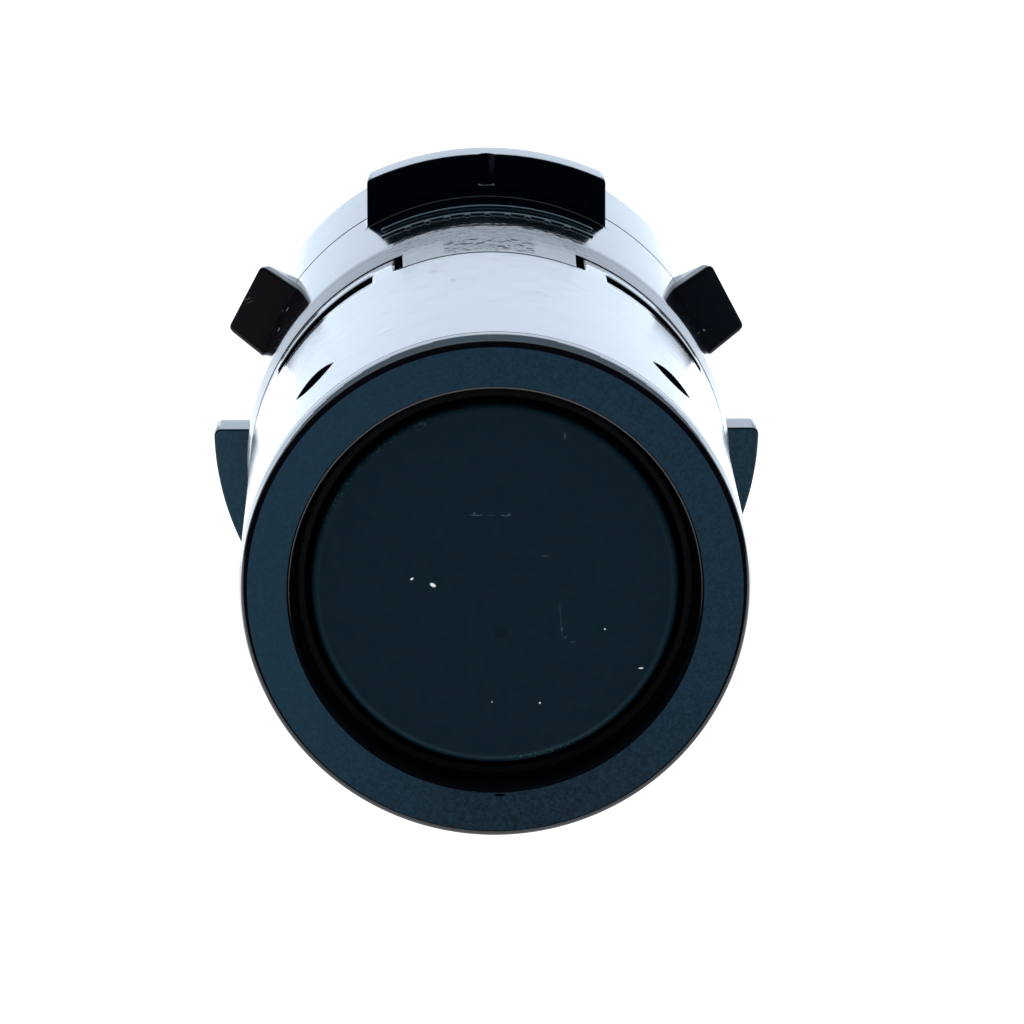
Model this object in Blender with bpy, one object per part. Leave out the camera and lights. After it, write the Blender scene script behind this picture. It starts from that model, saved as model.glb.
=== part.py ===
"""Ultrasonic parking sensor of the flanged push-through kind.

A round front sleeve clips over the nose of a barrel housing. The membrane cup looks out of the
sleeve through a soft ring. A bar, two side lugs and a half flange hold the barrel in its bracket,
and a rear housing with a three-pin connector closes it.

Metres, +Z up. The sensor's axis lies along Y and it looks towards -Y. The origin is the centre of
the membrane's front face. Angles round the axis are degrees from +Z towards +X.
"""

import math

import bmesh
import bpy
from mathutils import Matrix, Vector

MM = 0.001

# Clearances and the fineness of round forms
FIT = 0.3 * MM
SOLDER_GAP = 0.2 * MM
ROUND_STEPS = 72
DISC_STEPS = 48
SPOOL_STEPS = 32
HOLE_STEPS = 12
DEGREES_PER_STEP = 5.0
SHARP_ANGLE = math.radians(33)
CUT_MARGIN = 1.0 * MM

# Front sleeve
GROOVE_WIDTH = 0.98 * MM
SLEEVE_LENGTH = 24.7 * MM
SLEEVE_WALL = 1.2 * MM
SLEEVE_FRONT_WALL = 2.2 * MM
SLEEVE_RIM_WIDTH = 2.42 * MM
SHOULDER_DEPTH = 1.7 * MM
SHOULDER_TAPER = 0.22 * MM
SHOULDER_ROUND = 0.3 * MM
MOUTH_ROUND = 0.2 * MM
NOTCH_HALF_ANGLE = 23.0
NOTCH_DEPTH = 2.9 * MM
WINDOW_FROM_REAR = 1.6 * MM
WINDOW_LENGTH = 1.7 * MM
WINDOW_START_ANGLE = 29.0
WINDOW_END_ANGLE = 61.0
EYE_ANGLE = 45.2
EYE_WIDTH = 2.6 * MM
EYE_LENGTH = 1.9 * MM
EYE_DEPTH = 0.75 * MM
EYE_FROM_FACE = 7.7 * MM
GATE_RADIUS = 0.25 * MM
GATE_OFFSET = 0.32 * MM
GATE_DEPTH = 0.3 * MM

# Membrane cup and what it holds
FACE_RECESS = 1.1 * MM
CUP_RADIUS = 8.6 * MM
CUP_DEPTH = 9.4 * MM
CUP_WALL = 2.2 * MM
CUP_EDGE_ROUND = 0.35 * MM
MEMBRANE_THICKNESS = 0.8 * MM
CUP_RIM_WIDTH = 0.7 * MM
CUP_RIM_LENGTH = 2.0 * MM
RING_LIP = 0.7 * MM
RING_SETBACK = 0.6 * MM
PIEZO_RADIUS = 4.0 * MM
PIEZO_THICKNESS = 0.5 * MM
FOAM_THICKNESS = 2.0 * MM
WIRE_RADIUS = 0.2 * MM
WIRE_SPACING = 3.2 * MM
WIRE_PAD_SPACING = 8.0 * MM
WIRE_PAD_FROM_FRONT = 1.2 * MM

# Main housing
BODY_PROUD = 0.25 * MM
BODY_WALL = 1.5 * MM
SPIGOT_WALL = 1.2 * MM
COLLAR_STEP = 0.18 * MM
COLLAR_TAPER = 0.06 * MM
COLLAR_LENGTH = 1.85 * MM
SEAT_DEPTH = 36.0 * MM
BODY_TAIL = 0.25 * MM
KEY_SIDE_ANGLE = 1.9
RIDGE_HEIGHT = 0.85 * MM
FLANGE_HEIGHT = 1.91 * MM
FLANGE_THICKNESS = 2.5 * MM
FLANGE_EDGE = 0.15 * MM
BAR_HALF_WIDTH = 6.16 * MM
BAR_HEIGHT = 2.2 * MM
BAR_THICKNESS = 2.3 * MM
BAR_EDGE = 0.22 * MM
BAR_NOTCH_RADIUS = 0.42 * MM
BAR_NOTCH_DEPTH = 1.6 * MM
LUG_ANGLE = 60.8
LUG_SIDE_ANGLE = 49.0
LUG_FACE_ANGLE = 62.3
LUG_HEIGHT = 2.12 * MM
LUG_WIDTH = 3.78 * MM
LUG_CREST = 1.4 * MM
LUG_RAMP = 1.1 * MM
LUG_EDGE = 0.3 * MM
RIB_HALF_ANGLE = 22.0
RIB_HEIGHT = 0.12 * MM
RIB_WIDTH = 0.25 * MM
RIB_FROM_BAR = 1.95 * MM
RIB_SPACING = 2.05 * MM

# Circuit board and its rails
BOARD_SETBACK = 3.5 * MM
BOARD_SIDE_GAP = 0.9 * MM
BOARD_END_GAP = 1.5 * MM
BOARD_THICKNESS = 1.2 * MM
RAIL_BITE = 0.8 * MM
RAIL_LIP = 0.9 * MM
RAIL_STOP = 0.8 * MM

# Transformer, standing near the board's front
BOBBIN_FROM_FRONT = 5.6 * MM
BOBBIN_SIDE = 6.4 * MM
BOBBIN_BASE = 1.0 * MM
BOBBIN_HEIGHT = 4.6 * MM
BOBBIN_TUBE_WALL = 0.45 * MM
BOBBIN_FLANGE = 0.5 * MM
CORE_RADIUS = 1.3 * MM
CORE_CAP_HEIGHT = 0.9 * MM

# Small parts on both sides of the board
SMALL_EDGE = 0.12 * MM
RAIL_CLEARANCE = 0.4 * MM
CHIP_WIDTH = 4.4 * MM
CHIP_LENGTH = 4.9 * MM
CHIP_HEIGHT = 1.5 * MM
CHIP_FROM_REAR = 3.6 * MM
LEG_ROWS = 4
LEG_PITCH = 1.1 * MM
LEG_WIDTH = 0.4 * MM
LEG_THICKNESS = 0.25 * MM
LEG_REACH = 0.9 * MM
CRYSTAL_WIDTH = 2.0 * MM
CRYSTAL_LENGTH = 4.4 * MM
CRYSTAL_HEIGHT = 1.6 * MM
STORAGE_WIDTH = 1.9 * MM
STORAGE_LENGTH = 4.0 * MM
STORAGE_HEIGHT = 2.2 * MM
DIODE_WIDTH = 1.7 * MM
DIODE_LENGTH = 2.9 * MM
DIODE_HEIGHT = 1.1 * MM
FILTER_WIDTH = 1.2 * MM
FILTER_LENGTH = 1.9 * MM
FILTER_HEIGHT = 1.0 * MM
FILTER_SPACING = 2.8 * MM
RESISTOR_WIDTH = 0.9 * MM
RESISTOR_LENGTH = 1.7 * MM
RESISTOR_HEIGHT = 0.5 * MM
RESISTOR_SPACING = 2.4 * MM
RESISTOR_FROM_FRONT = 2.2 * MM

# Rear housing, its seal and its connector
REAR_LENGTH = 9.65 * MM
REAR_SPIGOT_LENGTH = 4.0 * MM
REAR_SPIGOT_WALL = 2.45 * MM
REAR_EDGE = 0.4 * MM
SEAL_THICKNESS = 0.9 * MM
SEAL_GROOVE_DEPTH = 1.2 * MM
SEAL_FROM_FRONT = 1.1 * MM
SHROUD_WIDTH = 15.0 * MM
SHROUD_HEIGHT = 9.8 * MM
SHROUD_WALL = 1.3 * MM
SHROUD_LENGTH = 11.5 * MM
SHROUD_CORNER = 2.0 * MM
SOCKET_DEPTH = 11.0 * MM
LATCH_WIDTH = 4.0 * MM
LATCH_HEIGHT = 1.1 * MM
LATCH_LENGTH = 2.6 * MM
LATCH_FROM_MOUTH = 2.4 * MM
GUIDE_WIDTH = 1.2 * MM
GUIDE_HEIGHT = 0.8 * MM
GUIDE_LENGTH = 9.0 * MM
GUIDE_SPACING = 8.6 * MM
PIN_SIDE = 0.64 * MM
PIN_PITCH = 2.54 * MM
PIN_REACH = 6.5 * MM
PIN_OVER_BOARD = 2.6 * MM
PIN_TIP = 0.9 * MM
PIN_GAP = 0.15 * MM

# Places and radii that follow from the sizes above
SLEEVE_FRONT = -FACE_RECESS
SLEEVE_REAR = SLEEVE_FRONT + SLEEVE_LENGTH
MOUTH_RADIUS = CUP_RADIUS + GROOVE_WIDTH
SLEEVE_RADIUS = MOUTH_RADIUS + SLEEVE_RIM_WIDTH
SLEEVE_BORE = SLEEVE_RADIUS - SLEEVE_WALL
RING_FRONT = SLEEVE_FRONT + SLEEVE_FRONT_WALL + FIT
RING_REAR = CUP_DEPTH + FIT + RING_LIP
SPIGOT_FRONT = RING_REAR + FIT
SPIGOT_RADIUS = SLEEVE_BORE - FIT
SPIGOT_BORE = SPIGOT_RADIUS - SPIGOT_WALL
COLLAR_FRONT = SLEEVE_REAR + FIT
BODY_RADIUS = SLEEVE_RADIUS + BODY_PROUD
COLLAR_RADIUS = BODY_RADIUS - COLLAR_STEP
BODY_BORE = BODY_RADIUS - BODY_WALL
WALL_MIDDLE = BODY_RADIUS - BODY_WALL / 2
SEAT_FRONT = SLEEVE_FRONT + SEAT_DEPTH
HOUSING_REAR = SEAT_FRONT + FLANGE_THICKNESS + BODY_TAIL
REAR_FRONT = HOUSING_REAR + FIT
BODY_END = REAR_FRONT + REAR_LENGTH
MOUTH_END = BODY_END + SHROUD_LENGTH
SOCKET_FLOOR = MOUTH_END - SOCKET_DEPTH
REAR_SPIGOT_FRONT = HOUSING_REAR - REAR_SPIGOT_LENGTH
REAR_SPIGOT_RADIUS = BODY_BORE - FIT
BOARD_FRONT = CUP_DEPTH + BOARD_SETBACK
BOARD_REAR = REAR_SPIGOT_FRONT - BOARD_END_GAP
BOARD_HALF_WIDTH = SPIGOT_BORE - BOARD_SIDE_GAP
BOARD_TOP = -PIN_SIDE / 2 - SOLDER_GAP
BOARD_UNDER = BOARD_TOP - BOARD_THICKNESS
PARTS_REACH = BOARD_HALF_WIDTH - RAIL_BITE - RAIL_CLEARANCE
CUP_BORE = CUP_RADIUS - CUP_WALL
PIEZO_BACK = MEMBRANE_THICKNESS + SOLDER_GAP + PIEZO_THICKNESS
FOAM_FRONT = PIEZO_BACK + FIT
FILLING_FRONT = FOAM_FRONT + FOAM_THICKNESS + FIT


def clear_scene():
    for item in list(bpy.data.objects):
        bpy.data.objects.remove(item, do_unlink=True)


def finish(name, color, roughness, metallic=0.0):
    """One Principled material, with its colour, roughness and metallic value."""
    material = bpy.data.materials.new(name)
    material.use_nodes = True
    shader = material.node_tree.nodes["Principled BSDF"]
    shader.inputs["Base Color"].default_value = (*color, 1.0)
    shader.inputs["Roughness"].default_value = roughness
    shader.inputs["Metallic"].default_value = metallic
    material.diffuse_color = (*color, 1.0)
    return material


def added(name, shape, material=None):
    """Turns the bmesh into an object of the scene, shaded smooth up to its sharp edges."""
    bmesh.ops.recalc_face_normals(shape, faces=shape.faces)
    mesh = bpy.data.meshes.new(name)
    shape.to_mesh(mesh)
    shape.free()
    mesh.shade_smooth()
    mesh.set_sharp_from_angle(angle=SHARP_ANGLE)
    item = bpy.data.objects.new(name, mesh)
    bpy.context.scene.collection.objects.link(item)
    if material:
        mesh.materials.append(material)
    return item


def combined(target, tool, operation):
    """Joins or cuts with a helper object, which stays out of the render."""
    modifier = target.modifiers.new(tool.name, "BOOLEAN")
    modifier.operation = operation
    modifier.solver = "EXACT"
    modifier.object = tool
    tool.hide_render = True
    tool.display_type = "WIRE"


def softened(item, width, segments=2):
    """Rounds the sharp edges."""
    modifier = item.modifiers.new("edges", "BEVEL")
    modifier.width = width
    modifier.segments = segments
    modifier.limit_method = "ANGLE"
    modifier.angle_limit = SHARP_ANGLE
    modifier.use_clamp_overlap = True
    return item


def at_angle(radius, degrees, y=0.0):
    """The point at this radius and angle round the sensor's axis."""
    turn = math.radians(degrees)
    return Vector((radius * math.sin(turn), y, radius * math.cos(turn)))


def quarter(center, start, end, steps):
    """Points of a quarter ellipse round center, from start to end, both included."""
    points = []
    for step in range(steps + 1):
        turn = math.pi / 2 * step / steps
        weights = math.cos(turn), math.sin(turn)
        points.append(
            tuple(c + (s - c) * weights[0] + (e - c) * weights[1] for c, s, e in zip(center, start, end))
        )
    return points


def turned(name, outline, material=None, steps=ROUND_STEPS):
    """A solid turned round Y. Its outline is (radius, y) points, closed unless it ends on the axis."""
    shape = bmesh.new()
    points = [shape.verts.new((0.0, y, radius)) for radius, y in outline]
    edges = [shape.edges.new(pair) for pair in zip(points, points[1:])]
    if outline[0][0] > 0:
        edges.append(shape.edges.new((points[-1], points[0])))
    bmesh.ops.spin(
        shape,
        geom=points + edges,
        cent=(0, 0, 0),
        axis=(0, 1, 0),
        angle=math.tau,
        steps=steps,
        use_merge=True,
    )
    bmesh.ops.remove_doubles(shape, verts=shape.verts, dist=1e-7)
    return added(name, shape, material)


def swept(name, outline, start, end, material=None):
    """A solid whose closed (radius, y) outline runs round Y from one angle to another."""
    shape = bmesh.new()
    face = shape.faces.new([shape.verts.new(at_angle(radius, start, y)) for radius, y in outline])
    steps = max(2, round(abs(end - start) / DEGREES_PER_STEP))
    bmesh.ops.spin(
        shape,
        geom=[*face.verts, *face.edges, face],
        cent=(0, 0, 0),
        axis=(0, 1, 0),
        angle=math.radians(end - start),
        steps=steps,
    )
    return added(name, shape, material)


def sector(name, inner, outer, front, rear, start, end, material=None):
    """A piece of a tube between two radii, two places along Y and two angles."""
    outline = [(inner, front), (outer, front), (outer, rear), (inner, rear)]
    return swept(name, outline, start, end, material)


def pulled(name, outline, direction, material=None):
    """A solid pulled out of a flat outline of points, along a direction."""
    shape = bmesh.new()
    face = shape.faces.new([shape.verts.new(point) for point in outline])
    result = bmesh.ops.extrude_face_region(shape, geom=[face])
    moved = [part for part in result["geom"] if isinstance(part, bmesh.types.BMVert)]
    bmesh.ops.translate(shape, verts=moved, vec=direction)
    return added(name, shape, material)


def block(name, low, high, material=None):
    """A box between two corners."""
    shape = bmesh.new()
    bmesh.ops.create_cube(shape, size=1.0)
    low, high = Vector(low), Vector(high)
    bmesh.ops.scale(shape, verts=shape.verts, vec=high - low)
    bmesh.ops.translate(shape, verts=shape.verts, vec=(low + high) / 2)
    return added(name, shape, material)


def rounded_outline(width, height, corner, y):
    """The points of a rectangle with round corners, in the plane at y."""
    points = []
    for start, x_sign, z_sign in ((0, 1, 1), (90, -1, 1), (180, -1, -1), (270, 1, -1)):
        center = Vector((x_sign * (width / 2 - corner), y, z_sign * (height / 2 - corner)))
        for step in range(5):
            turn = math.radians(start + 90 * step / 4)
            points.append(center + corner * Vector((math.cos(turn), 0, math.sin(turn))))
    return points


def eye_outline(angle):
    """A pointed oval on the sleeve, drawn well outside its surface and facing the axis."""
    outward = at_angle(1.0, angle)
    across = at_angle(1.0, angle + 90)
    center = outward * (SLEEVE_RADIUS + CUT_MARGIN)
    center.y = SLEEVE_FRONT + EYE_FROM_FACE
    points = []
    for side in (-1, 1):
        for step in range(8):
            along = -side * math.cos(math.pi * step / 8)
            bulge = side * (1 - along * along)
            points.append(center + across * (along * EYE_WIDTH / 2) + Vector((0, bulge * EYE_LENGTH / 2, 0)))
    return points, outward


def front_sleeve(material):
    shoulder = SLEEVE_RADIUS - SHOULDER_TAPER
    outline = quarter(
        (MOUTH_RADIUS + MOUTH_ROUND, SLEEVE_FRONT + MOUTH_ROUND),
        (MOUTH_RADIUS, SLEEVE_FRONT + MOUTH_ROUND),
        (MOUTH_RADIUS + MOUTH_ROUND, SLEEVE_FRONT),
        3,
    )
    outline += quarter(
        (shoulder - SHOULDER_ROUND, SLEEVE_FRONT + SHOULDER_ROUND),
        (shoulder - SHOULDER_ROUND, SLEEVE_FRONT),
        (shoulder, SLEEVE_FRONT + SHOULDER_ROUND),
        4,
    )
    outline += [
        (SLEEVE_RADIUS, SLEEVE_FRONT + SHOULDER_DEPTH),
        (SLEEVE_RADIUS, SLEEVE_REAR),
        (SLEEVE_BORE, SLEEVE_REAR),
        (SLEEVE_BORE, SLEEVE_FRONT + SLEEVE_FRONT_WALL),
        (MOUTH_RADIUS, SLEEVE_FRONT + SLEEVE_FRONT_WALL),
    ]
    sleeve = turned("front_sleeve", outline, material)
    inside, outside = SLEEVE_BORE - CUT_MARGIN, SLEEVE_RADIUS + CUT_MARGIN
    notch_floor = SLEEVE_REAR - NOTCH_DEPTH
    notch_end = SLEEVE_REAR + CUT_MARGIN
    half = NOTCH_HALF_ANGLE
    notch = sector("rear_notch", inside, outside, notch_floor, notch_end, -half, half)
    combined(sleeve, notch, "DIFFERENCE")
    window_rear = SLEEVE_REAR - WINDOW_FROM_REAR
    for name, start, end in latch_windows():
        window_front = window_rear - WINDOW_LENGTH
        window = sector(f"window_{name}", inside, outside, window_front, window_rear, start, end)
        combined(sleeve, window, "DIFFERENCE")
    for name, angle in (("left", -EYE_ANGLE), ("right", EYE_ANGLE)):
        points, outward = eye_outline(angle)
        eye = pulled(f"eye_{name}", points, -outward * (CUT_MARGIN + EYE_DEPTH))
        combined(sleeve, eye, "DIFFERENCE")
    gate = gate_cutter()
    combined(sleeve, gate, "DIFFERENCE")
    return sleeve


def gate_cutter():
    """The small nick in the face, below the mouth, where the plastic entered the mould."""
    shape = bmesh.new()
    turn = Matrix.Rotation(math.radians(90), 4, "X")
    place = Matrix.Translation((0, SLEEVE_FRONT, -MOUTH_RADIUS - GATE_OFFSET))
    bmesh.ops.create_cone(
        shape,
        cap_ends=True,
        segments=HOLE_STEPS,
        radius1=GATE_RADIUS,
        radius2=GATE_RADIUS,
        depth=2 * GATE_DEPTH,
        matrix=place @ turn,
    )
    return added("gate_nick", shape)


def latch_windows():
    """The four windows of the sleeve, as name, first angle and last angle."""
    start, end = WINDOW_START_ANGLE, WINDOW_END_ANGLE
    return (
        ("upper_right", start, end),
        ("lower_right", 180 - end, 180 - start),
        ("lower_left", 180 + start, 180 + end),
        ("upper_left", 360 - end, 360 - start),
    )


def decoupling_ring(material):
    """The soft ring round the cup. Its thin nose fills most of the gap between the cup and the mouth."""
    outer = SLEEVE_BORE - FIT
    inner = CUP_RADIUS + FIT
    nose = MOUTH_RADIUS - FIT
    seat = inner + CUP_RIM_WIDTH
    rim_front = CUP_DEPTH - CUP_RIM_LENGTH - FIT
    outline = [
        (inner, RING_SETBACK),
        (nose, RING_SETBACK),
        (nose, RING_FRONT),
        (outer, RING_FRONT),
        (outer, RING_REAR),
        (inner, RING_REAR),
        (inner, CUP_DEPTH + FIT),
        (seat, CUP_DEPTH + FIT),
        (seat, rim_front),
        (inner, rim_front),
    ]
    return turned("decoupling_ring", outline, material)


def membrane_cup(material):
    rim = CUP_RADIUS + CUP_RIM_WIDTH
    rim_front = CUP_DEPTH - CUP_RIM_LENGTH
    edge = quarter(
        (CUP_RADIUS - CUP_EDGE_ROUND, CUP_EDGE_ROUND),
        (CUP_RADIUS - CUP_EDGE_ROUND, 0.0),
        (CUP_RADIUS, CUP_EDGE_ROUND),
        4,
    )
    outline = [(0.0, 0.0), *edge]
    outline += [(CUP_RADIUS, rim_front), (rim, rim_front), (rim, CUP_DEPTH), (CUP_BORE, CUP_DEPTH)]
    outline += [(CUP_BORE, MEMBRANE_THICKNESS), (0.0, MEMBRANE_THICKNESS)]
    return turned("membrane_cup", outline, material)


def disc(name, radius, front, rear, material):
    return turned(name, [(0.0, front), (radius, front), (radius, rear), (0.0, rear)], material, DISC_STEPS)


def wire_holes(target):
    """Two holes along Y that let the lead wires through."""
    for side in (-1, 1):
        x = side * WIRE_SPACING / 2
        radius = WIRE_RADIUS + FIT
        shape = bmesh.new()
        turn = Matrix.Rotation(math.radians(90), 4, "X")
        bmesh.ops.create_cone(
            shape,
            cap_ends=True,
            segments=HOLE_STEPS,
            radius1=radius,
            radius2=radius,
            depth=4 * CUP_DEPTH,
            matrix=Matrix.Translation((x, 0, 0)) @ turn,
        )
        combined(target, added(f"{target.name}_hole_{side}", shape), "DIFFERENCE")


def cup_contents(ceramic, foam, silicone):
    radius = CUP_BORE - FIT
    disc("piezo_disc", PIEZO_RADIUS, PIEZO_BACK - PIEZO_THICKNESS, PIEZO_BACK, ceramic)
    wire_holes(disc("damping_foam", radius, FOAM_FRONT, FOAM_FRONT + FOAM_THICKNESS, foam))
    wire_holes(disc("cup_filling", radius, FILLING_FRONT, CUP_DEPTH, silicone))


def lead_wire(name, side, material):
    """A thin wire from the ceramic straight out of the cup, then in an easy S to its pad on the board."""
    start = Vector((side * WIRE_SPACING / 2, PIEZO_BACK + SOLDER_GAP, 0))
    bend = Vector((start.x, CUP_DEPTH + FIT, 0))
    pad_height = BOARD_TOP + SOLDER_GAP + WIRE_RADIUS
    pad = Vector((side * WIRE_PAD_SPACING / 2, BOARD_FRONT + WIRE_PAD_FROM_FRONT, pad_height))
    route = [start, start.lerp(bend, 0.5)]
    for step in range(13):
        share = step / 12
        ease = (1 - math.cos(math.pi * share)) / 2
        route.append(
            Vector(
                (
                    bend.x + (pad.x - bend.x) * ease,
                    bend.y + (pad.y - bend.y) * share,
                    bend.z + (pad.z - bend.z) * ease,
                )
            )
        )
    curve = bpy.data.curves.new(name, "CURVE")
    curve.dimensions = "3D"
    curve.bevel_depth = WIRE_RADIUS
    curve.bevel_resolution = 2
    curve.use_fill_caps = True
    line = curve.splines.new("POLY")
    line.points.add(len(route) - 1)
    for point, place in zip(line.points, route):
        point.co = (*place, 1.0)
    curve.materials.append(material)
    wire = bpy.data.objects.new(name, curve)
    bpy.context.scene.collection.objects.link(wire)
    return wire


def barrel(material):
    """The turned part of the main housing: spigot, tapered collar and body, with its stepped bore."""
    step = COLLAR_FRONT + BODY_WALL
    collar_rear = COLLAR_FRONT + COLLAR_LENGTH
    outline = [
        (SPIGOT_RADIUS, SPIGOT_FRONT),
        (SPIGOT_RADIUS, COLLAR_FRONT),
        (COLLAR_RADIUS, COLLAR_FRONT),
        (COLLAR_RADIUS + COLLAR_TAPER, collar_rear),
        (BODY_RADIUS, SEAT_FRONT),
        (BODY_RADIUS, HOUSING_REAR),
        (BODY_BORE, HOUSING_REAR),
        (BODY_BORE, step),
        (SPIGOT_BORE, step),
        (SPIGOT_BORE, SPIGOT_FRONT),
    ]
    return turned("main_housing", outline, material)


def arc_across(radius, half_width, y, steps=12):
    """Points on a circle round the axis, between the two uprights at half_width from the middle."""
    reach = math.degrees(math.asin(half_width / radius))
    return [at_angle(radius, -reach + 2 * reach * step / steps, y) for step in range(steps + 1)]


def top_bar():
    """The stop bar: straight ends, a round top that follows the barrel, and a half-round notch."""
    outer = arc_across(BODY_RADIUS + BAR_HEIGHT, BAR_HALF_WIDTH, SEAT_FRONT)
    inner = arc_across(WALL_MIDDLE, BAR_HALF_WIDTH, SEAT_FRONT)
    bar = pulled("top_bar", outer + inner[::-1], Vector((0, BAR_THICKNESS, 0)))
    softened(bar, BAR_EDGE)
    shape = bmesh.new()
    top = BODY_RADIUS + BAR_HEIGHT + CUT_MARGIN
    depth = BAR_NOTCH_DEPTH + CUT_MARGIN
    bmesh.ops.create_cone(
        shape,
        cap_ends=True,
        segments=HOLE_STEPS,
        radius1=BAR_NOTCH_RADIUS,
        radius2=BAR_NOTCH_RADIUS,
        depth=depth,
        matrix=Matrix.Translation((0, SEAT_FRONT, top - depth / 2)),
    )
    combined(bar, added("bar_notch", shape), "DIFFERENCE")
    return bar


def half_flange():
    """The lower half ring that seats on the bracket, with flat upper ends."""
    flange = sector(
        "half_flange",
        WALL_MIDDLE,
        BODY_RADIUS + FLANGE_HEIGHT,
        SEAT_FRONT,
        SEAT_FRONT + FLANGE_THICKNESS,
        90,
        270,
    )
    return softened(flange, FLANGE_EDGE)


def sunk(point, direction):
    """The point moved back along a direction until it lies in the middle of the body's wall."""
    flat = Vector((point.x, 0, point.z))
    along = flat.dot(direction)
    back = along - math.sqrt(along * along - flat.length_squared + WALL_MIDDLE * WALL_MIDDLE)
    return point - direction * back


def lug(name, side):
    """A square lug: an upright face level with the seat, a flat crest and a steep ramp behind it."""
    front = SEAT_FRONT
    center = at_angle(BODY_RADIUS + LUG_HEIGHT, LUG_ANGLE, front)
    face = at_angle(1.0, LUG_FACE_ANGLE + 90)
    inward = at_angle(1.0, LUG_SIDE_ANGLE)
    shape = bmesh.new()
    rings = []
    for y, share in ((front, 0.0), (front + LUG_CREST, 0.0), (front + LUG_CREST + LUG_RAMP, 1.0)):
        ring = []
        for end in (-1, 1):
            outer = center + face * (end * LUG_WIDTH / 2)
            foot = sunk(outer, inward)
            crest = outer.lerp(foot + inward * BODY_WALL / 2, share)
            ring += [crest, foot] if end < 0 else [foot, crest]
        for point in ring:
            point.y = y
            point.x *= side
        rings.append([shape.verts.new(point) for point in ring])
    for near, far in zip(rings, rings[1:]):
        for index in range(4):
            after = (index + 1) % 4
            shape.faces.new((near[index], near[after], far[after], far[index]))
    shape.faces.new(rings[0])
    shape.faces.new(rings[-1])
    return softened(added(name, shape), LUG_EDGE)


def key_tab():
    """The tab that fills the sleeve's rear notch and stops the sleeve from turning."""
    half = NOTCH_HALF_ANGLE - KEY_SIDE_ANGLE
    front = SLEEVE_REAR - NOTCH_DEPTH + FIT
    foot = SPIGOT_RADIUS - SPIGOT_WALL / 2
    return sector("key_tab", foot, SLEEVE_RADIUS, front, COLLAR_FRONT + FIT, -half, half)


def latch_ridge(name, start, end):
    """A barbed ridge on the spigot, low in front, that snaps into a window of the sleeve."""
    rear = SLEEVE_REAR - WINDOW_FROM_REAR - FIT
    front = rear - WINDOW_LENGTH + 2 * FIT
    foot = SPIGOT_RADIUS - SPIGOT_WALL / 2
    crest = SPIGOT_RADIUS + RIDGE_HEIGHT
    low = SPIGOT_RADIUS + RIDGE_HEIGHT / 2
    outline = [(foot, front), (low, front), (crest, (front + rear) / 2), (crest, rear), (foot, rear)]
    margin = math.degrees(FIT / SPIGOT_RADIUS)
    return swept(f"ridge_{name}", outline, start + margin, end - margin)


def marker_rib(index):
    """A fine plain rib on the body in front of the bar."""
    rear = SEAT_FRONT - RIB_FROM_BAR - index * RIB_SPACING + RIB_WIDTH / 2
    return sector(
        f"marker_rib_{index}",
        WALL_MIDDLE,
        BODY_RADIUS + RIB_HEIGHT,
        rear - RIB_WIDTH,
        rear,
        -RIB_HALF_ANGLE,
        RIB_HALF_ANGLE,
    )


def board_rails():
    """A rail on each side, with a step outwards where the spigot's bore widens into the body's."""
    low = BOARD_UNDER - FIT - RAIL_LIP
    height = BOARD_TOP + FIT + RAIL_LIP - low
    inner = BOARD_HALF_WIDTH - RAIL_BITE
    front = BOARD_FRONT - RAIL_STOP
    step = COLLAR_FRONT + BODY_WALL / 2
    narrow = math.sqrt((SPIGOT_BORE + SPIGOT_WALL / 2) ** 2 - low * low)
    wide = math.sqrt(WALL_MIDDLE * WALL_MIDDLE - low * low)
    plan = [(inner, front), (narrow, front), (narrow, step), (wide, step)]
    plan += [(wide, BOARD_REAR), (inner, BOARD_REAR)]
    for name, side in (("left", -1), ("right", 1)):
        outline = [(side * x, y, low) for x, y in plan]
        yield pulled(f"rail_{name}", outline, Vector((0, 0, height)))


def board_slot():
    half = BOARD_HALF_WIDTH + FIT
    low = (-half, BOARD_FRONT - FIT, BOARD_UNDER - FIT)
    return block("board_slot", low, (half, BOARD_REAR + CUT_MARGIN, BOARD_TOP + FIT))


def main_housing(material):
    housing = barrel(material)
    joined = [top_bar(), half_flange(), lug("lug_left", -1), lug("lug_right", 1), key_tab()]
    joined += [latch_ridge(*window) for window in latch_windows()]
    joined += [marker_rib(index) for index in range(2)]
    joined += board_rails()
    for item in joined:
        combined(housing, item, "UNION")
    combined(housing, board_slot(), "DIFFERENCE")
    return housing


def circuit_board(material):
    low = (-BOARD_HALF_WIDTH, BOARD_FRONT, BOARD_UNDER)
    return block("circuit_board", low, (BOARD_HALF_WIDTH, BOARD_REAR, BOARD_TOP), material)


def upright(name, center, outline, material=None):
    """A solid turned round an upright axis through center. Its outline is (radius, height) points."""
    shape = bmesh.new()
    points = [shape.verts.new((radius, 0.0, height)) for radius, height in outline]
    edges = [shape.edges.new(pair) for pair in zip(points, points[1:])]
    if outline[0][0] > 0:
        edges.append(shape.edges.new((points[-1], points[0])))
    bmesh.ops.spin(
        shape,
        geom=points + edges,
        cent=(0, 0, 0),
        axis=(0, 0, 1),
        angle=math.tau,
        steps=SPOOL_STEPS,
        use_merge=True,
    )
    bmesh.ops.remove_doubles(shape, verts=shape.verts, dist=1e-7)
    bmesh.ops.translate(shape, verts=shape.verts, vec=center)
    return added(name, shape, material)


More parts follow.
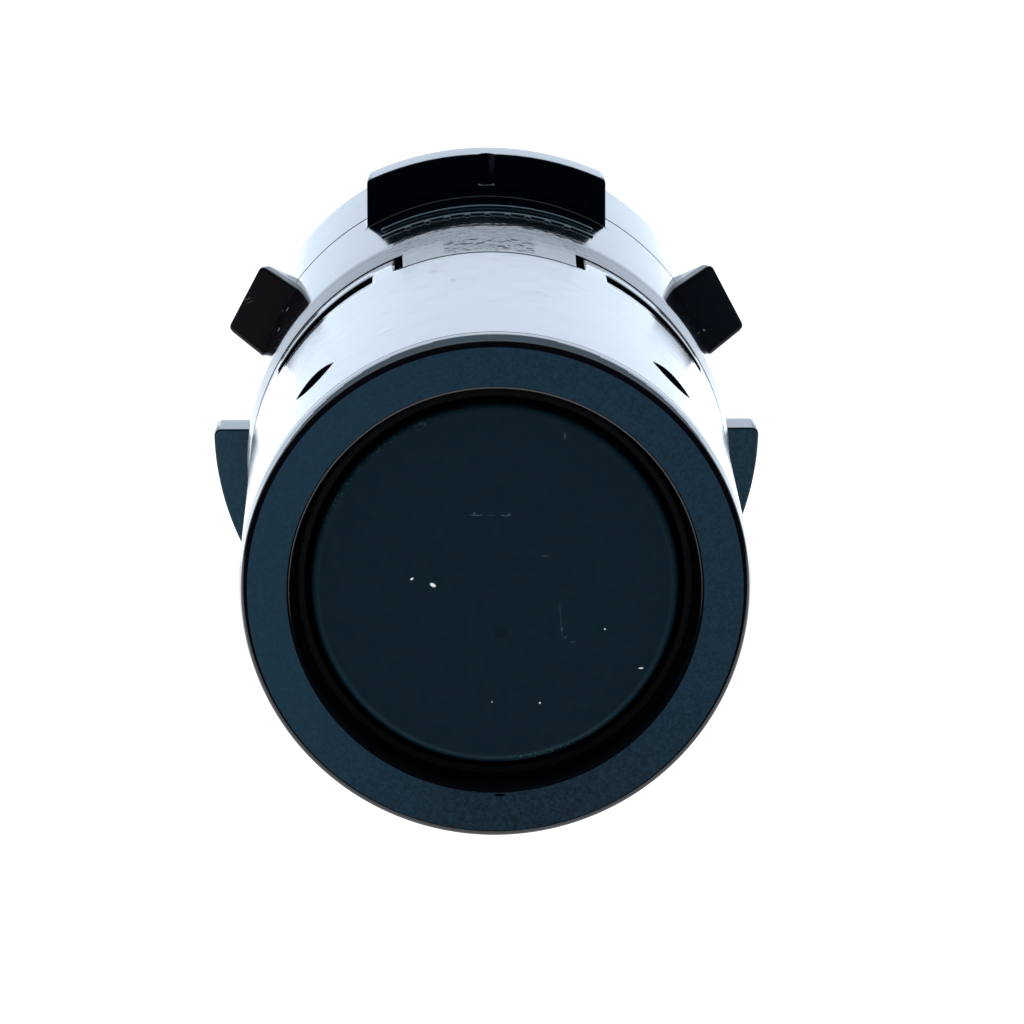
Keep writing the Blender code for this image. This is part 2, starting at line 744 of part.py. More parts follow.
def transformer(plastic_finish, copper, ferrite):
    """A bobbin on a square foot, its winding, and a core whose cap closes the top."""
    foot = BOARD_TOP + SOLDER_GAP
    center = Vector((0, BOARD_FRONT + BOBBIN_FROM_FRONT, foot))
    half = BOBBIN_SIDE / 2
    bore = CORE_RADIUS + FIT
    tube = bore + BOBBIN_TUBE_WALL
    top = BOBBIN_BASE + BOBBIN_HEIGHT
    base = block(
        "transformer_bobbin",
        center - Vector((half, half, 0)),
        center + Vector((half, half, BOBBIN_BASE)),
        plastic_finish,
    )
    sunk_foot = BOBBIN_BASE / 2
    spool = [
        (0.0, sunk_foot),
        (tube, sunk_foot),
        (tube, top - BOBBIN_FLANGE),
        (half, top - BOBBIN_FLANGE),
        (half, top),
        (0.0, top),
    ]
    combined(base, upright("bobbin_spool", center, spool), "UNION")
    well = [(0.0, sunk_foot), (bore, sunk_foot), (bore, top + CUT_MARGIN), (0.0, top + CUT_MARGIN)]
    combined(base, upright("bobbin_bore", center, well), "DIFFERENCE")
    low, high = BOBBIN_BASE + FIT, top - BOBBIN_FLANGE - FIT
    coil = [(tube + FIT, low), (half - FIT, low), (half - FIT, high), (tube + FIT, high)]
    upright("transformer_winding", center, coil, copper)
    cap = top + FIT
    core = [
        (0.0, sunk_foot + FIT),
        (CORE_RADIUS, sunk_foot + FIT),
        (CORE_RADIUS, cap),
        (half, cap),
        (half, cap + CORE_CAP_HEIGHT),
        (0.0, cap + CORE_CAP_HEIGHT),
    ]
    upright("transformer_core", center, core, ferrite)


def soldered(name, x, y, size, material):
    """A small part under the board, with its middle at x and y, and its size as width, length, height."""
    width, length, height = size
    top = BOARD_UNDER - SOLDER_GAP
    low = (x - width / 2, y - length / 2, top - height)
    item = block(name, low, (x + width / 2, y + length / 2, top), material)
    return softened(item, SMALL_EDGE, 1)


def chip_leg(index, middle):
    """One strip bent up at both ends, which passes through the chip and makes two of its legs."""
    foot = BOARD_UNDER - SOLDER_GAP
    drop = foot - CHIP_HEIGHT / 2
    shoulder = CHIP_WIDTH / 2 + LEG_REACH / 2
    tip = CHIP_WIDTH / 2 + LEG_REACH
    over = [
        (tip, foot),
        (tip, foot - LEG_THICKNESS),
        (shoulder, foot - LEG_THICKNESS),
        (shoulder, drop - LEG_THICKNESS),
    ]
    under = [(shoulder - LEG_THICKNESS, drop), (shoulder - LEG_THICKNESS, foot)]
    outline = over + [(-x, z) for x, z in over[::-1]] + [(-x, z) for x, z in under[::-1]] + under
    start = middle + (index - (LEG_ROWS - 1) / 2) * LEG_PITCH - LEG_WIDTH / 2
    points = [(x, start, z) for x, z in outline]
    return pulled(f"chip_legs_{index}", points, Vector((0, LEG_WIDTH, 0)))


def control_chip(middle, material):
    """A flat chip under the board's rear end, with bent legs along both sides."""
    top = BOARD_UNDER - SOLDER_GAP - LEG_THICKNESS
    low = (-CHIP_WIDTH / 2, middle - CHIP_LENGTH / 2, top + LEG_THICKNESS - CHIP_HEIGHT)
    chip = block("control_chip", low, (CHIP_WIDTH / 2, middle + CHIP_LENGTH / 2, top), material)
    for index in range(LEG_ROWS):
        combined(chip, chip_leg(index, middle), "UNION")


def storage_capacitor(material):
    """A block capacitor on top of the board, beside the transformer."""
    y = BOARD_FRONT + BOBBIN_FROM_FRONT
    foot = BOARD_TOP + SOLDER_GAP
    low = (PARTS_REACH - STORAGE_WIDTH, y - STORAGE_LENGTH / 2, foot)
    high = (PARTS_REACH, y + STORAGE_LENGTH / 2, foot + STORAGE_HEIGHT)
    softened(block("storage_capacitor", low, high, material), SMALL_EDGE, 1)


def parts_under_board(black, metal, ceramic):
    """The small parts under the board: a line across it near the rear end and one near the front."""
    chip_line = BOARD_REAR - CHIP_FROM_REAR
    front_line = BOARD_FRONT + RESISTOR_FROM_FRONT
    control_chip(chip_line, black)
    crystal_x = -PARTS_REACH + CRYSTAL_WIDTH / 2
    crystal = (CRYSTAL_WIDTH, CRYSTAL_LENGTH, CRYSTAL_HEIGHT)
    soldered("quartz_crystal", crystal_x, chip_line, crystal, metal)
    diode_x = -PARTS_REACH + DIODE_WIDTH / 2
    soldered("protection_diode", diode_x, front_line, (DIODE_WIDTH, DIODE_LENGTH, DIODE_HEIGHT), black)
    filter_x = PARTS_REACH - FILTER_WIDTH / 2
    filter_size = (FILTER_WIDTH, FILTER_LENGTH, FILTER_HEIGHT)
    resistor_size = (RESISTOR_WIDTH, RESISTOR_LENGTH, RESISTOR_HEIGHT)
    for number, side in ((1, -1), (2, 1)):
        filter_y = chip_line + side * FILTER_SPACING / 2
        soldered(f"filter_capacitor_{number}", filter_x, filter_y, filter_size, ceramic)
        resistor_x = side * RESISTOR_SPACING / 2
        soldered(f"bias_resistor_{number}", resistor_x, front_line, resistor_size, black)


def contact_pin(name, x, material):
    """A square pin from the board through the rear wall, with a tapered tip in the socket."""
    start, tip = BOARD_REAR - PIN_OVER_BOARD, SOCKET_FLOOR + PIN_REACH
    shape = bmesh.new()
    rings = []
    for y, half in ((start, PIN_SIDE / 2), (tip - PIN_TIP, PIN_SIDE / 2), (tip, PIN_SIDE / 4)):
        corners = ((-half, -half), (half, -half), (half, half), (-half, half))
        rings.append([shape.verts.new((x + dx, y, dz)) for dx, dz in corners])
    for near, far in zip(rings, rings[1:]):
        for index in range(4):
            after = (index + 1) % 4
            shape.faces.new((near[index], near[after], far[after], far[index]))
    shape.faces.new(rings[0])
    shape.faces.new(rings[-1])
    return added(name, shape, material)


def pin_places():
    return ((index, (index - 2) * PIN_PITCH) for index in (1, 2, 3))


def housing_seal(material):
    """The O-ring in the groove of the rear spigot, as a round section turned about the axis."""
    middle = REAR_SPIGOT_FRONT + SEAL_FROM_FRONT + SEAL_THICKNESS / 2 + FIT
    bottom = REAR_SPIGOT_RADIUS - SEAL_GROOVE_DEPTH
    radius = bottom + FIT + SEAL_THICKNESS / 2
    half = SEAL_THICKNESS / 2
    outline = []
    for step in range(10):
        turn = math.tau * step / 10
        outline.append((radius + half * math.cos(turn), middle + half * math.sin(turn)))
    return turned("housing_seal", outline, material, DISC_STEPS)


def rear_shell(material):
    """The turned part of the rear housing: the wall behind the parting line, its end and its spigot."""
    inner = REAR_SPIGOT_RADIUS - REAR_SPIGOT_WALL
    groove_front = REAR_SPIGOT_FRONT + SEAL_FROM_FRONT
    groove_rear = groove_front + SEAL_THICKNESS + 2 * FIT
    groove = REAR_SPIGOT_RADIUS - SEAL_GROOVE_DEPTH
    outline = [
        (0.0, BODY_END),
        (BODY_RADIUS - REAR_EDGE, BODY_END),
        (BODY_RADIUS, BODY_END - REAR_EDGE),
        (BODY_RADIUS, REAR_FRONT),
        (REAR_SPIGOT_RADIUS, REAR_FRONT),
        (REAR_SPIGOT_RADIUS, groove_rear),
        (groove, groove_rear),
        (groove, groove_front),
        (REAR_SPIGOT_RADIUS, groove_front),
        (REAR_SPIGOT_RADIUS, REAR_SPIGOT_FRONT),
        (inner, REAR_SPIGOT_FRONT),
        (inner, BODY_END - BODY_WALL),
        (0.0, BODY_END - BODY_WALL),
    ]
    return turned("rear_housing", outline, material)


def connector_shroud():
    root = BODY_END - BODY_WALL / 2
    outline = rounded_outline(SHROUD_WIDTH, SHROUD_HEIGHT, SHROUD_CORNER, root)
    return pulled("connector_shroud", outline, Vector((0, MOUTH_END - root, 0)))


def latch_nose():
    """The wedge on the shroud that the mating plug's spring arm snaps over."""
    rear = MOUTH_END - LATCH_FROM_MOUTH
    foot = SHROUD_HEIGHT / 2 - SHROUD_WALL / 2
    crest = SHROUD_HEIGHT / 2 + LATCH_HEIGHT
    side = -LATCH_WIDTH / 2
    front, middle = rear - LATCH_LENGTH, rear - LATCH_LENGTH / 2
    profile = [(rear, foot), (front, foot), (front, crest), (middle, crest)]
    return pulled("latch_nose", [(side, y, z) for y, z in profile], Vector((LATCH_WIDTH, 0, 0)))


def guide_rib(name, side):
    """A rib under the shroud that keys the mating plug."""
    middle = side * GUIDE_SPACING / 2
    low = -SHROUD_HEIGHT / 2 - GUIDE_HEIGHT
    high = -SHROUD_HEIGHT / 2 + SHROUD_WALL / 2
    front = BODY_END - BODY_WALL / 2
    return block(
        name,
        (middle - GUIDE_WIDTH / 2, front, low),
        (middle + GUIDE_WIDTH / 2, BODY_END + GUIDE_LENGTH, high),
    )


def rear_housing(material):
    housing = rear_shell(material)
    joined = [connector_shroud(), latch_nose(), guide_rib("guide_left", -1), guide_rib("guide_right", 1)]
    for item in joined:
        combined(housing, item, "UNION")
    width, height = SHROUD_WIDTH - 2 * SHROUD_WALL, SHROUD_HEIGHT - 2 * SHROUD_WALL
    outline = rounded_outline(width, height, SHROUD_CORNER - SHROUD_WALL, SOCKET_FLOOR)
    socket = pulled("socket", outline, Vector((0, SOCKET_DEPTH + CUT_MARGIN, 0)))
    combined(housing, socket, "DIFFERENCE")
    half = PIN_SIDE / 2 + PIN_GAP
    for index, x in pin_places():
        front, rear = BODY_END - BODY_WALL - CUT_MARGIN, SOCKET_FLOOR + CUT_MARGIN
        hole = block(f"pin_hole_{index}", (x - half, front, -half), (x + half, rear, half))
        combined(housing, hole, "DIFFERENCE")
    return housing


clear_scene()

BLACK_PLASTIC = finish("black_plastic", (0.018, 0.021, 0.026), 0.3)
HOUSING_PLASTIC = finish("housing_plastic", (0.014, 0.016, 0.020), 0.28)
BLACK_LACQUER = finish("black_lacquer", (0.010, 0.014, 0.018), 0.45)
SILICONE = finish("black_silicone", (0.012, 0.012, 0.013), 0.7)
CERAMIC = finish("ceramic", (0.62, 0.58, 0.50), 0.5)
FOAM = finish("foam", (0.22, 0.22, 0.23), 0.95)
CLEAR_SILICONE = finish("filling_silicone", (0.55, 0.56, 0.54), 0.4)
COPPER = finish("copper", (0.72, 0.36, 0.20), 0.35, 1.0)
TIN = finish("tinned_metal", (0.72, 0.72, 0.70), 0.3, 1.0)
BOARD_GREEN = finish("board_green", (0.03, 0.16, 0.08), 0.4)
FERRITE = finish("ferrite", (0.07, 0.07, 0.075), 0.6)
BOBBIN_PLASTIC = finish("bobbin_plastic", (0.03, 0.03, 0.03), 0.5)
AMBER = finish("amber_resin", (0.75, 0.42, 0.08), 0.4)

front_sleeve(BLACK_PLASTIC)
decoupling_ring(SILICONE)
membrane_cup(BLACK_LACQUER)
cup_contents(CERAMIC, FOAM, CLEAR_SILICONE)
lead_wire("lead_wire_left", -1, COPPER)
lead_wire("lead_wire_right", 1, COPPER)
main_housing(HOUSING_PLASTIC)
circuit_board(BOARD_GREEN)
transformer(BOBBIN_PLASTIC, COPPER, FERRITE)
storage_capacitor(AMBER)
parts_under_board(BOBBIN_PLASTIC, TIN, CERAMIC)
for pin_index, pin_x in pin_places():
    contact_pin(f"contact_pin_{pin_index}", pin_x, TIN)
housing_seal(SILICONE)
rear_housing(HOUSING_PLASTIC)
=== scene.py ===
"""Looks of the parking sensor: its pieces, finishes, light and camera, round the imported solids."""

import math

import bmesh
import bpy
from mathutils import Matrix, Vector


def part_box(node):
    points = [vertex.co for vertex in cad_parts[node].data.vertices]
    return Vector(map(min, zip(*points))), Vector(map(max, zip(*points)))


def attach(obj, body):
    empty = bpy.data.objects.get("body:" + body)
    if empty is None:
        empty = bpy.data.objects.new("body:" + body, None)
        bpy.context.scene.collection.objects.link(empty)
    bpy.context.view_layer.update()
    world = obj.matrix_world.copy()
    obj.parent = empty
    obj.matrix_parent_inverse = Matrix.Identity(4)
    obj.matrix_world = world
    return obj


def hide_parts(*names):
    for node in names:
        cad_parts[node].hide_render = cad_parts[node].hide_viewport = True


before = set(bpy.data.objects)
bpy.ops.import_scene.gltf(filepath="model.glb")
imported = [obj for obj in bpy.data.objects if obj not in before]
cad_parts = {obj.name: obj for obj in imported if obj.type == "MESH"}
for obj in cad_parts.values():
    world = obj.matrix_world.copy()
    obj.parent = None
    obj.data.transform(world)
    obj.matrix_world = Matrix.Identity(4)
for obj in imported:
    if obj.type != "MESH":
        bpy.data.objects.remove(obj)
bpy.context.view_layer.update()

# Membrane cup
# A deep-drawn aluminium cup whose flat end is the sensing face. It is sprayed satin black, and the
# lacquer has lost specks along the rim. A soft ring grips its rear rim inside the sleeve.
MM = 0.001
cup_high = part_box("membrane_cup")[1]
RIM_RADIUS = cup_high.x
CUP_REAR = cup_high.y
CUP_RIM_WIDTH = 0.7 * MM
CUP_RIM_LENGTH = 2.0 * MM
CUP_RADIUS = RIM_RADIUS - CUP_RIM_WIDTH
CUP_BORE = CUP_RADIUS - 2.2 * MM
CUP_EDGE_ROUND = 0.35 * MM
MEMBRANE_THICKNESS = 0.8 * MM
FINE_STEPS = 180
SMOOTH_ANGLE = 30
MERGE_DISTANCE = 1e-6
NEAR = 0.01 * MM


def at_angle(radius, degrees, y=0.0):
    """The point at this radius and angle round the sensor's axis, from the top towards +X."""
    turn = math.radians(degrees)
    return Vector((radius * math.sin(turn), y, radius * math.cos(turn)))


def bend(center, radius, start, end, steps=5):
    """Points of an arc in a (radius, y) section. Its angles run from outwards (0) to the rear (90)."""
    points = []
    for step in range(steps + 1):
        turn = math.radians(start + (end - start) * step / steps)
        points.append((center[0] + radius * math.cos(turn), center[1] + radius * math.sin(turn)))
    return points


def drawn(name, points):
    """Starts a piece as one vertex and draws a line from it, point by point. It stays in edit mode."""
    bpy.ops.object.select_all(action="DESELECT")
    bpy.ops.mesh.primitive_plane_add(size=MM)
    piece = bpy.context.object
    piece.name = piece.data.name = name
    bpy.ops.object.mode_set(mode="EDIT")
    bpy.ops.mesh.select_mode(type="VERT")
    bpy.ops.mesh.merge(type="CENTER")
    bpy.ops.transform.translate(value=points[0])
    for near, far in zip(points, points[1:]):
        bpy.ops.mesh.extrude_vertices_move(TRANSFORM_OT_translate={"value": far - near})
    return piece


def pick(piece, mode, wanted):
    """Selects, in edit mode, only the vertices, edges or faces that are wanted."""
    bpy.ops.mesh.select_mode(type=mode)
    bpy.ops.mesh.select_all(action="DESELECT")
    cage = bmesh.from_edit_mesh(piece.data)
    for item in {"VERT": cage.verts, "EDGE": cage.edges, "FACE": cage.faces}[mode]:
        item.select_set(wanted(item))
    cage.select_flush_mode()
    bmesh.update_edit_mesh(piece.data)


def select_all():
    bpy.ops.mesh.select_all(action="SELECT")


def settled(piece):
    """Merges what meets, turns the faces outwards and leaves edit mode."""
    bpy.ops.mesh.select_mode(type="VERT")
    select_all()
    bpy.ops.mesh.remove_doubles(threshold=MERGE_DISTANCE)
    bpy.ops.mesh.normals_make_consistent(inside=False)
    bpy.ops.object.mode_set(mode="OBJECT")
    return piece


def turned(name, section, steps=FINE_STEPS):
    """A round piece: its (radius, y) section is drawn, closed unless it ends on the axis, and spun."""
    piece = drawn(name, [Vector((0.0, y, radius)) for radius, y in section])
    if section[0][0] > 0:
        pick(piece, "VERT", lambda vert: len(vert.link_edges) == 1)
        bpy.ops.mesh.edge_face_add()
    select_all()
    bpy.ops.mesh.spin(steps=steps, angle=math.tau, center=(0, 0, 0), axis=(0, 1, 0))
    return settled(piece)


def activate(piece):
    """Selects one piece alone and makes it the active one."""
    bpy.ops.object.select_all(action="DESELECT")
    piece.select_set(True)
    bpy.context.view_layer.objects.active = piece


def smooth(piece):
    """Shades smooth up to the sharp edges, with the large faces kept flat beside small roundings."""
    activate(piece)
    bpy.ops.object.shade_smooth_by_angle(angle=math.radians(SMOOTH_ANGLE))
    modifier = piece.modifiers.new("even_shading", "WEIGHTED_NORMAL")
    modifier.keep_sharp = True
    bpy.ops.object.modifier_apply(modifier=modifier.name)


cup_edge = bend((CUP_RADIUS - CUP_EDGE_ROUND, CUP_EDGE_ROUND), CUP_EDGE_ROUND, -90, 0, 6)
cup_section = [(0.0, 0.0), *cup_edge, (CUP_RADIUS, CUP_REAR - CUP_RIM_LENGTH)]
cup_section += [(RIM_RADIUS, CUP_REAR - CUP_RIM_LENGTH), (RIM_RADIUS, CUP_REAR), (CUP_BORE, CUP_REAR)]
cup_section += [(CUP_BORE, MEMBRANE_THICKNESS), (0.0, MEMBRANE_THICKNESS)]
membrane = turned("membrane_shell", cup_section)
smooth(membrane)


class Finish:
    """A Principled material under construction, with short ways to add nodes to it."""

    def __init__(self, name, color, roughness, metallic=0.0):
        self.material = bpy.data.materials.new(name)
        self.material.use_nodes = True
        self.tree = self.material.node_tree
        self.shader = self.tree.nodes["Principled BSDF"]
        self.shader.inputs["Base Color"].default_value = (*color, 1.0)
        self.shader.inputs["Roughness"].default_value = roughness
        self.shader.inputs["Metallic"].default_value = metallic
        self.place = self.node("ShaderNodeTexCoord").outputs["Object"]

    def node(self, kind, **settings):
        made = self.tree.nodes.new(kind)
        for name, value in settings.items():
            setattr(made, name, value)
        return made

    def put(self, source, target):
        """Links a source, or writes a value, into a socket."""
        if isinstance(source, bpy.types.NodeSocket):
            self.tree.links.new(source, target)
        else:
            target.default_value = source

    def noise(self, size, detail=3.0, rough=0.55, stretch=(1, 1, 1)):
        """Noise whose blotches are about size across, from 0 to 1."""
        place = self.node("ShaderNodeMapping")
        self.put(self.place, place.inputs["Vector"])
        place.inputs["Scale"].default_value = stretch
        made = self.node("ShaderNodeTexNoise")
        self.put(place.outputs["Vector"], made.inputs["Vector"])
        made.inputs["Scale"].default_value = 1 / size
        made.inputs["Detail"].default_value = detail
        made.inputs["Roughness"].default_value = rough
        return made.outputs["Fac"]

    def spread(self, value, low, high, start=0.0, end=1.0):
        """Maps value from low..high to start..end, smoothly and within those ends."""
        made = self.node("ShaderNodeMapRange", interpolation_type="SMOOTHSTEP")
        self.put(value, made.inputs["Value"])
        for name, number in (("From Min", low), ("From Max", high), ("To Min", start), ("To Max", end)):
            self.put(number, made.inputs[name])
        return made.outputs["Result"]

    def math(self, operation, first, second=0.0, third=0.0):
        made = self.node("ShaderNodeMath", operation=operation)
        for source, target in zip((first, second, third), made.inputs):
            self.put(source, target)
        return made.outputs["Value"]

    def mix(self, share, first, second):
        """A colour between two colours."""
        made = self.node("ShaderNodeMix", data_type="RGBA")
        colors = [socket for socket in made.inputs if socket.type == "RGBA"]
        self.put(share, made.inputs["Factor"])
        for source, target in zip((first, second), colors):
            self.put((*source, 1.0) if isinstance(source, tuple) else source, target)
        return next(socket for socket in made.outputs if socket.type == "RGBA")

    def length(self, socket):
        made = self.node("ShaderNodeVectorMath", operation="LENGTH")
        self.put(socket, made.inputs[0])
        return made.outputs["Value"]

    def axes(self):
        """The place's x, y and z."""
        made = self.node("ShaderNodeSeparateXYZ")
        self.put(self.place, made.inputs["Vector"])
        return made.outputs

    def radius(self):
        """The distance from the sensor's axis."""
        flat = self.node("ShaderNodeVectorMath", operation="MULTIPLY")
        self.put(self.place, flat.inputs[0])
        flat.inputs[1].default_value = (1, 0, 1)
        return self.length(flat.outputs["Vector"])

    def turn(self):
        """Degrees round the axis from the top, towards +X."""
        x, _, z = self.axes()
        return self.math("DEGREES", self.math("ARCTAN2", x, z))

    def band(self, value, low, high, soft):
        """1 between low and high, and 0 beyond a soft edge on both sides."""
        from_low = self.spread(value, low - soft, low)
        return self.math("MULTIPLY", from_low, self.spread(value, high + soft, high))

    def all_of(self, first, *others):
        for other in others:
            first = self.math("MULTIPLY", first, other)
        return first

    def any_of(self, first, *others):
        for other in others:
            first = self.math("MAXIMUM", first, other)
        return first

    def oval(self, middle, size, edges, strength, slope=0.0):
        """An oval mark with its middle in mm, which fades out between two edges in shares of its size."""
        place = self.node("ShaderNodeMapping", vector_type="TEXTURE")
        self.put(self.place, place.inputs["Vector"])
        place.inputs["Location"].default_value = [value * MM for value in middle]
        place.inputs["Rotation"].default_value = (0, -math.radians(slope), 0)
        place.inputs["Scale"].default_value = size
        return self.spread(self.length(place.outputs["Vector"]), *edges, 0.0, strength)

    def mark(self, x, z, half_long, half_wide, slope=0.0, strength=1.0):
        """A small oval mark, in mm across the axis, whose long side rises by slope towards +X."""
        return self.oval((x, 0, z), (half_long * MM, 1, half_wide * MM), (1.15, 0.55), strength, slope)

    def marks(self, rows):
        return self.any_of(*[self.mark(*row) for row in rows])

    def smudge(self, x, y, half_wide, half_long, strength=1.0):
        """A soft mark on the upper side, in mm from the axis and along it."""
        return self.oval((x, y, 0), (half_wide * MM, half_long * MM, 1), (1.3, 0.3), strength)

    def color(self, source):
        self.put(source, self.shader.inputs["Base Color"])

    def roughness(self, source):
        self.put(source, self.shader.inputs["Roughness"])

    def give(self, socket, value):
        """Sets one of the shader's own values."""
        self.shader.inputs[socket].default_value = value

    def two_tone(self, size, low, high):
        """Varies the colour from low to high in blotches of this size."""
        self.color(self.mix(self.noise(size), low, high))

    def uneven(self, size, low, high):
        """Varies the roughness from low to high in blotches of this size."""
        self.roughness(self.spread(self.noise(size), 0.3, 0.7, low, high))

    def bump(self, height, distance):
        """Adds relief of this depth, on top of any relief that is there already."""
        made = self.node("ShaderNodeBump")
        self.put(height, made.inputs["Height"])
        made.inputs["Distance"].default_value = distance
        links = self.shader.inputs["Normal"].links
        if links:
            self.put(links[0].from_socket, made.inputs["Normal"])
        self.put(made.outputs["Normal"], self.shader.inputs["Normal"])


lacquer = Finish("satin_black_lacquer", (0.0022, 0.0135, 0.023), 0.4)
lacquer.give("Specular IOR Level", 0.2)
scratches = [
    (-0.85, 3.37, 0.36, 0.028, 2), (0.45, 3.35, 0.22, 0.028, -8), (-0.98, 3.44, 0.1, 0.04, 60),
    (0.66, 3.4, 0.07, 0.07), (-0.2, 3.36, 0.25, 0.018, 0, 0.5), (2.33, 1.41, 0.2, 0.03, 0, 0.7),
    (3.08, -1.7, 0.03, 1.0, 4, 0.35), (3.25, 7.14, 0.06, 0.2, 0, 0.6), (3.12, -2.1, 0.05, 0.12, 0, 0.7),
    (3.3, -2.5, 0.12, 0.03, 30, 0.6), (3.62, -2.74, 0.14, 0.03, 0, 0.5),
]
worn_through = [
    (-2.91, 0.03, 0.16, 0.09, -30), (-3.89, 0.33, 0.09, 0.05, 35), (6.84, -4.01, 0.13, 0.035, 5),
    (5.14, -2.12, 0.05, 0.04, 0, 0.8), (2.1, -5.68, 0.05, 0.05, 0, 0.8), (-0.15, -5.62, 0.04, 0.04, 0, 0.5),
]
rim_radius, rim_turn = lacquer.radius(), lacquer.turn()
flecks = lacquer.spread(lacquer.noise(0.16 * MM, 3.0, 0.7), 0.52, 0.66)
rim_wear = lacquer.all_of(
    flecks, lacquer.band(rim_radius, 8.36 * MM, 8.62 * MM, 0.1 * MM), lacquer.band(rim_turn, 143, 172, 6)
)
left_flecks = lacquer.all_of(
    flecks, lacquer.band(rim_radius, 8.38 * MM, 8.52 * MM, 0.06 * MM), lacquer.band(rim_turn, -66, -24, 8)
)
# Painted highlight: a lighter line round the cup's rounded edge, stronger towards the bottom.
rim_painted_highlight = lacquer.all_of(
    lacquer.band(rim_radius, 8.3 * MM, 8.42 * MM, 0.14 * MM),
    lacquer.spread(lacquer.math("ABSOLUTE", rim_turn), 20, 150, 0.25, 1.0),
)
coat = lacquer.mix(lacquer.noise(3 * MM), (0.0006, 0.0120, 0.0215), (0.0012, 0.0148, 0.025))
coat = lacquer.mix(lacquer.noise(0.09 * MM, 2.0), coat, (0.0018, 0.0172, 0.030))
coat = lacquer.mix(lacquer.mark(0.27, -2.29, 0.35, 0.3, 0, 0.5), coat, (0.001, 0.007, 0.012))
coat = lacquer.mix(lacquer.math("MULTIPLY", rim_painted_highlight, 0.35), coat, (0.014, 0.045, 0.062))
faint_wear = lacquer.any_of(lacquer.all_of(lacquer.marks(scratches), 0.6), lacquer.all_of(rim_wear, 0.7))
faint_wear = lacquer.any_of(faint_wear, lacquer.all_of(left_flecks, 0.45))
coat = lacquer.mix(faint_wear, coat, (0.07, 0.13, 0.155))
coat = lacquer.mix(lacquer.marks(worn_through), coat, (0.95, 0.97, 0.97))
lacquer.color(coat)
lacquer.uneven(0.6 * MM, 0.32, 0.42)
lacquer.bump(lacquer.noise(0.12 * MM, 2.0), 0.005 * MM)
membrane.data.materials.append(lacquer.material)
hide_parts("membrane_cup")
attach(membrane, "root")

# Cup contents
# A silvered ceramic disc is glued inside the membrane, a foam disc damps it and clear silicone seals
# the cup. Two enamelled copper wires lead from the disc to the board.


def clad(node, finish):
    """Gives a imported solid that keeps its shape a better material."""
    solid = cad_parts[node]
    if not solid.material_slots:
        solid.data.materials.append(finish.material)
    for slot in solid.material_slots:
        slot.material = finish.material


silvered = Finish("silvered_ceramic", (0.62, 0.58, 0.50), 0.4)
silvered.two_tone(0.4 * MM, (0.58, 0.55, 0.48), (0.66, 0.62, 0.54))
silvered.uneven(0.15 * MM, 0.3, 0.5)
silvered.bump(silvered.noise(0.08 * MM), 0.004 * MM)
clad("piezo_disc", silvered)
foam = Finish("grey_foam", (0.22, 0.22, 0.23), 0.95)
foam_cells = foam.noise(0.25 * MM, 2.0)
foam.color(foam.mix(foam_cells, (0.13, 0.13, 0.14), (0.27, 0.27, 0.28)))
foam.bump(foam_cells, 0.12 * MM)
clad("damping_foam", foam)
cast = Finish("clear_cast_silicone", (0.55, 0.56, 0.54), 0.25)
cast.give("Subsurface Weight", 0.15)
cast.give("Subsurface Radius", (0.002, 0.002, 0.0018))
cast.two_tone(1.5 * MM, (0.52, 0.53, 0.50), (0.58, 0.59, 0.57))
cast.uneven(0.8 * MM, 0.2, 0.34)
cast.bump(cast.noise(1.2 * MM), 0.02 * MM)
clad("cup_filling", cast)
enamelled = Finish("enamelled_copper", (0.72, 0.36, 0.20), 0.28, 1.0)
enamelled.two_tone(0.3 * MM, (0.62, 0.27, 0.13), (0.78, 0.40, 0.22))
enamelled.give("Coat Weight", 0.5)
enamelled.give("Coat Roughness", 0.12)
enamelled.bump(enamelled.noise(0.1 * MM), 0.003 * MM)
clad("lead_wire_left", enamelled)
clad("lead_wire_right", enamelled)

# Decoupling ring
# A moulded ring of soft black silicone that grips the cup's rear rim and keeps it off the sleeve. Its
# thin nose shows as the dark bottom of the gap round the membrane.
ring_low, ring_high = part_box("decoupling_ring")
FIT = 0.3 * MM
MOUTH_RADIUS = CUP_RADIUS + 0.98 * MM
RING_FRONT = 1.4 * MM
NOSE_ROUND = 0.1 * MM
nose_inner, nose_outer = CUP_RADIUS + FIT, MOUTH_RADIUS - FIT
ring_section = bend((nose_inner + NOSE_ROUND, ring_low.y + NOSE_ROUND), NOSE_ROUND, 180, 270, 3)
ring_section += bend((nose_outer - NOSE_ROUND, ring_low.y + NOSE_ROUND), NOSE_ROUND, -90, 0, 3)
ring_section += [(nose_outer, RING_FRONT)]
ring_section += bend((ring_high.x - NOSE_ROUND, RING_FRONT + NOSE_ROUND), NOSE_ROUND, -90, 0, 3)
ring_section += bend((ring_high.x - NOSE_ROUND, ring_high.y - NOSE_ROUND), NOSE_ROUND, 0, 90, 3)
rim_front, rim_rear = CUP_REAR - CUP_RIM_LENGTH - FIT, CUP_REAR + FIT
ring_section += [(nose_inner, ring_high.y), (nose_inner, rim_rear), (nose_inner + CUP_RIM_WIDTH, rim_rear)]
ring_section += [(nose_inner + CUP_RIM_WIDTH, rim_front), (nose_inner, rim_front)]
ring = turned("rubber_ring", ring_section)
smooth(ring)
rubber = Finish("soft_black_silicone", (0.0012, 0.0024, 0.0042), 0.6)
rubber.give("Specular IOR Level", 0.25)
rubber.two_tone(0.5 * MM, (0.0010, 0.0020, 0.0036), (0.0020, 0.0036, 0.0060))
rubber.uneven(0.3 * MM, 0.55, 0.7)
rubber.bump(rubber.noise(0.15 * MM), 0.006 * MM)
ring.data.materials.append(rubber.material)
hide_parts("decoupling_ring")
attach(ring, "root")

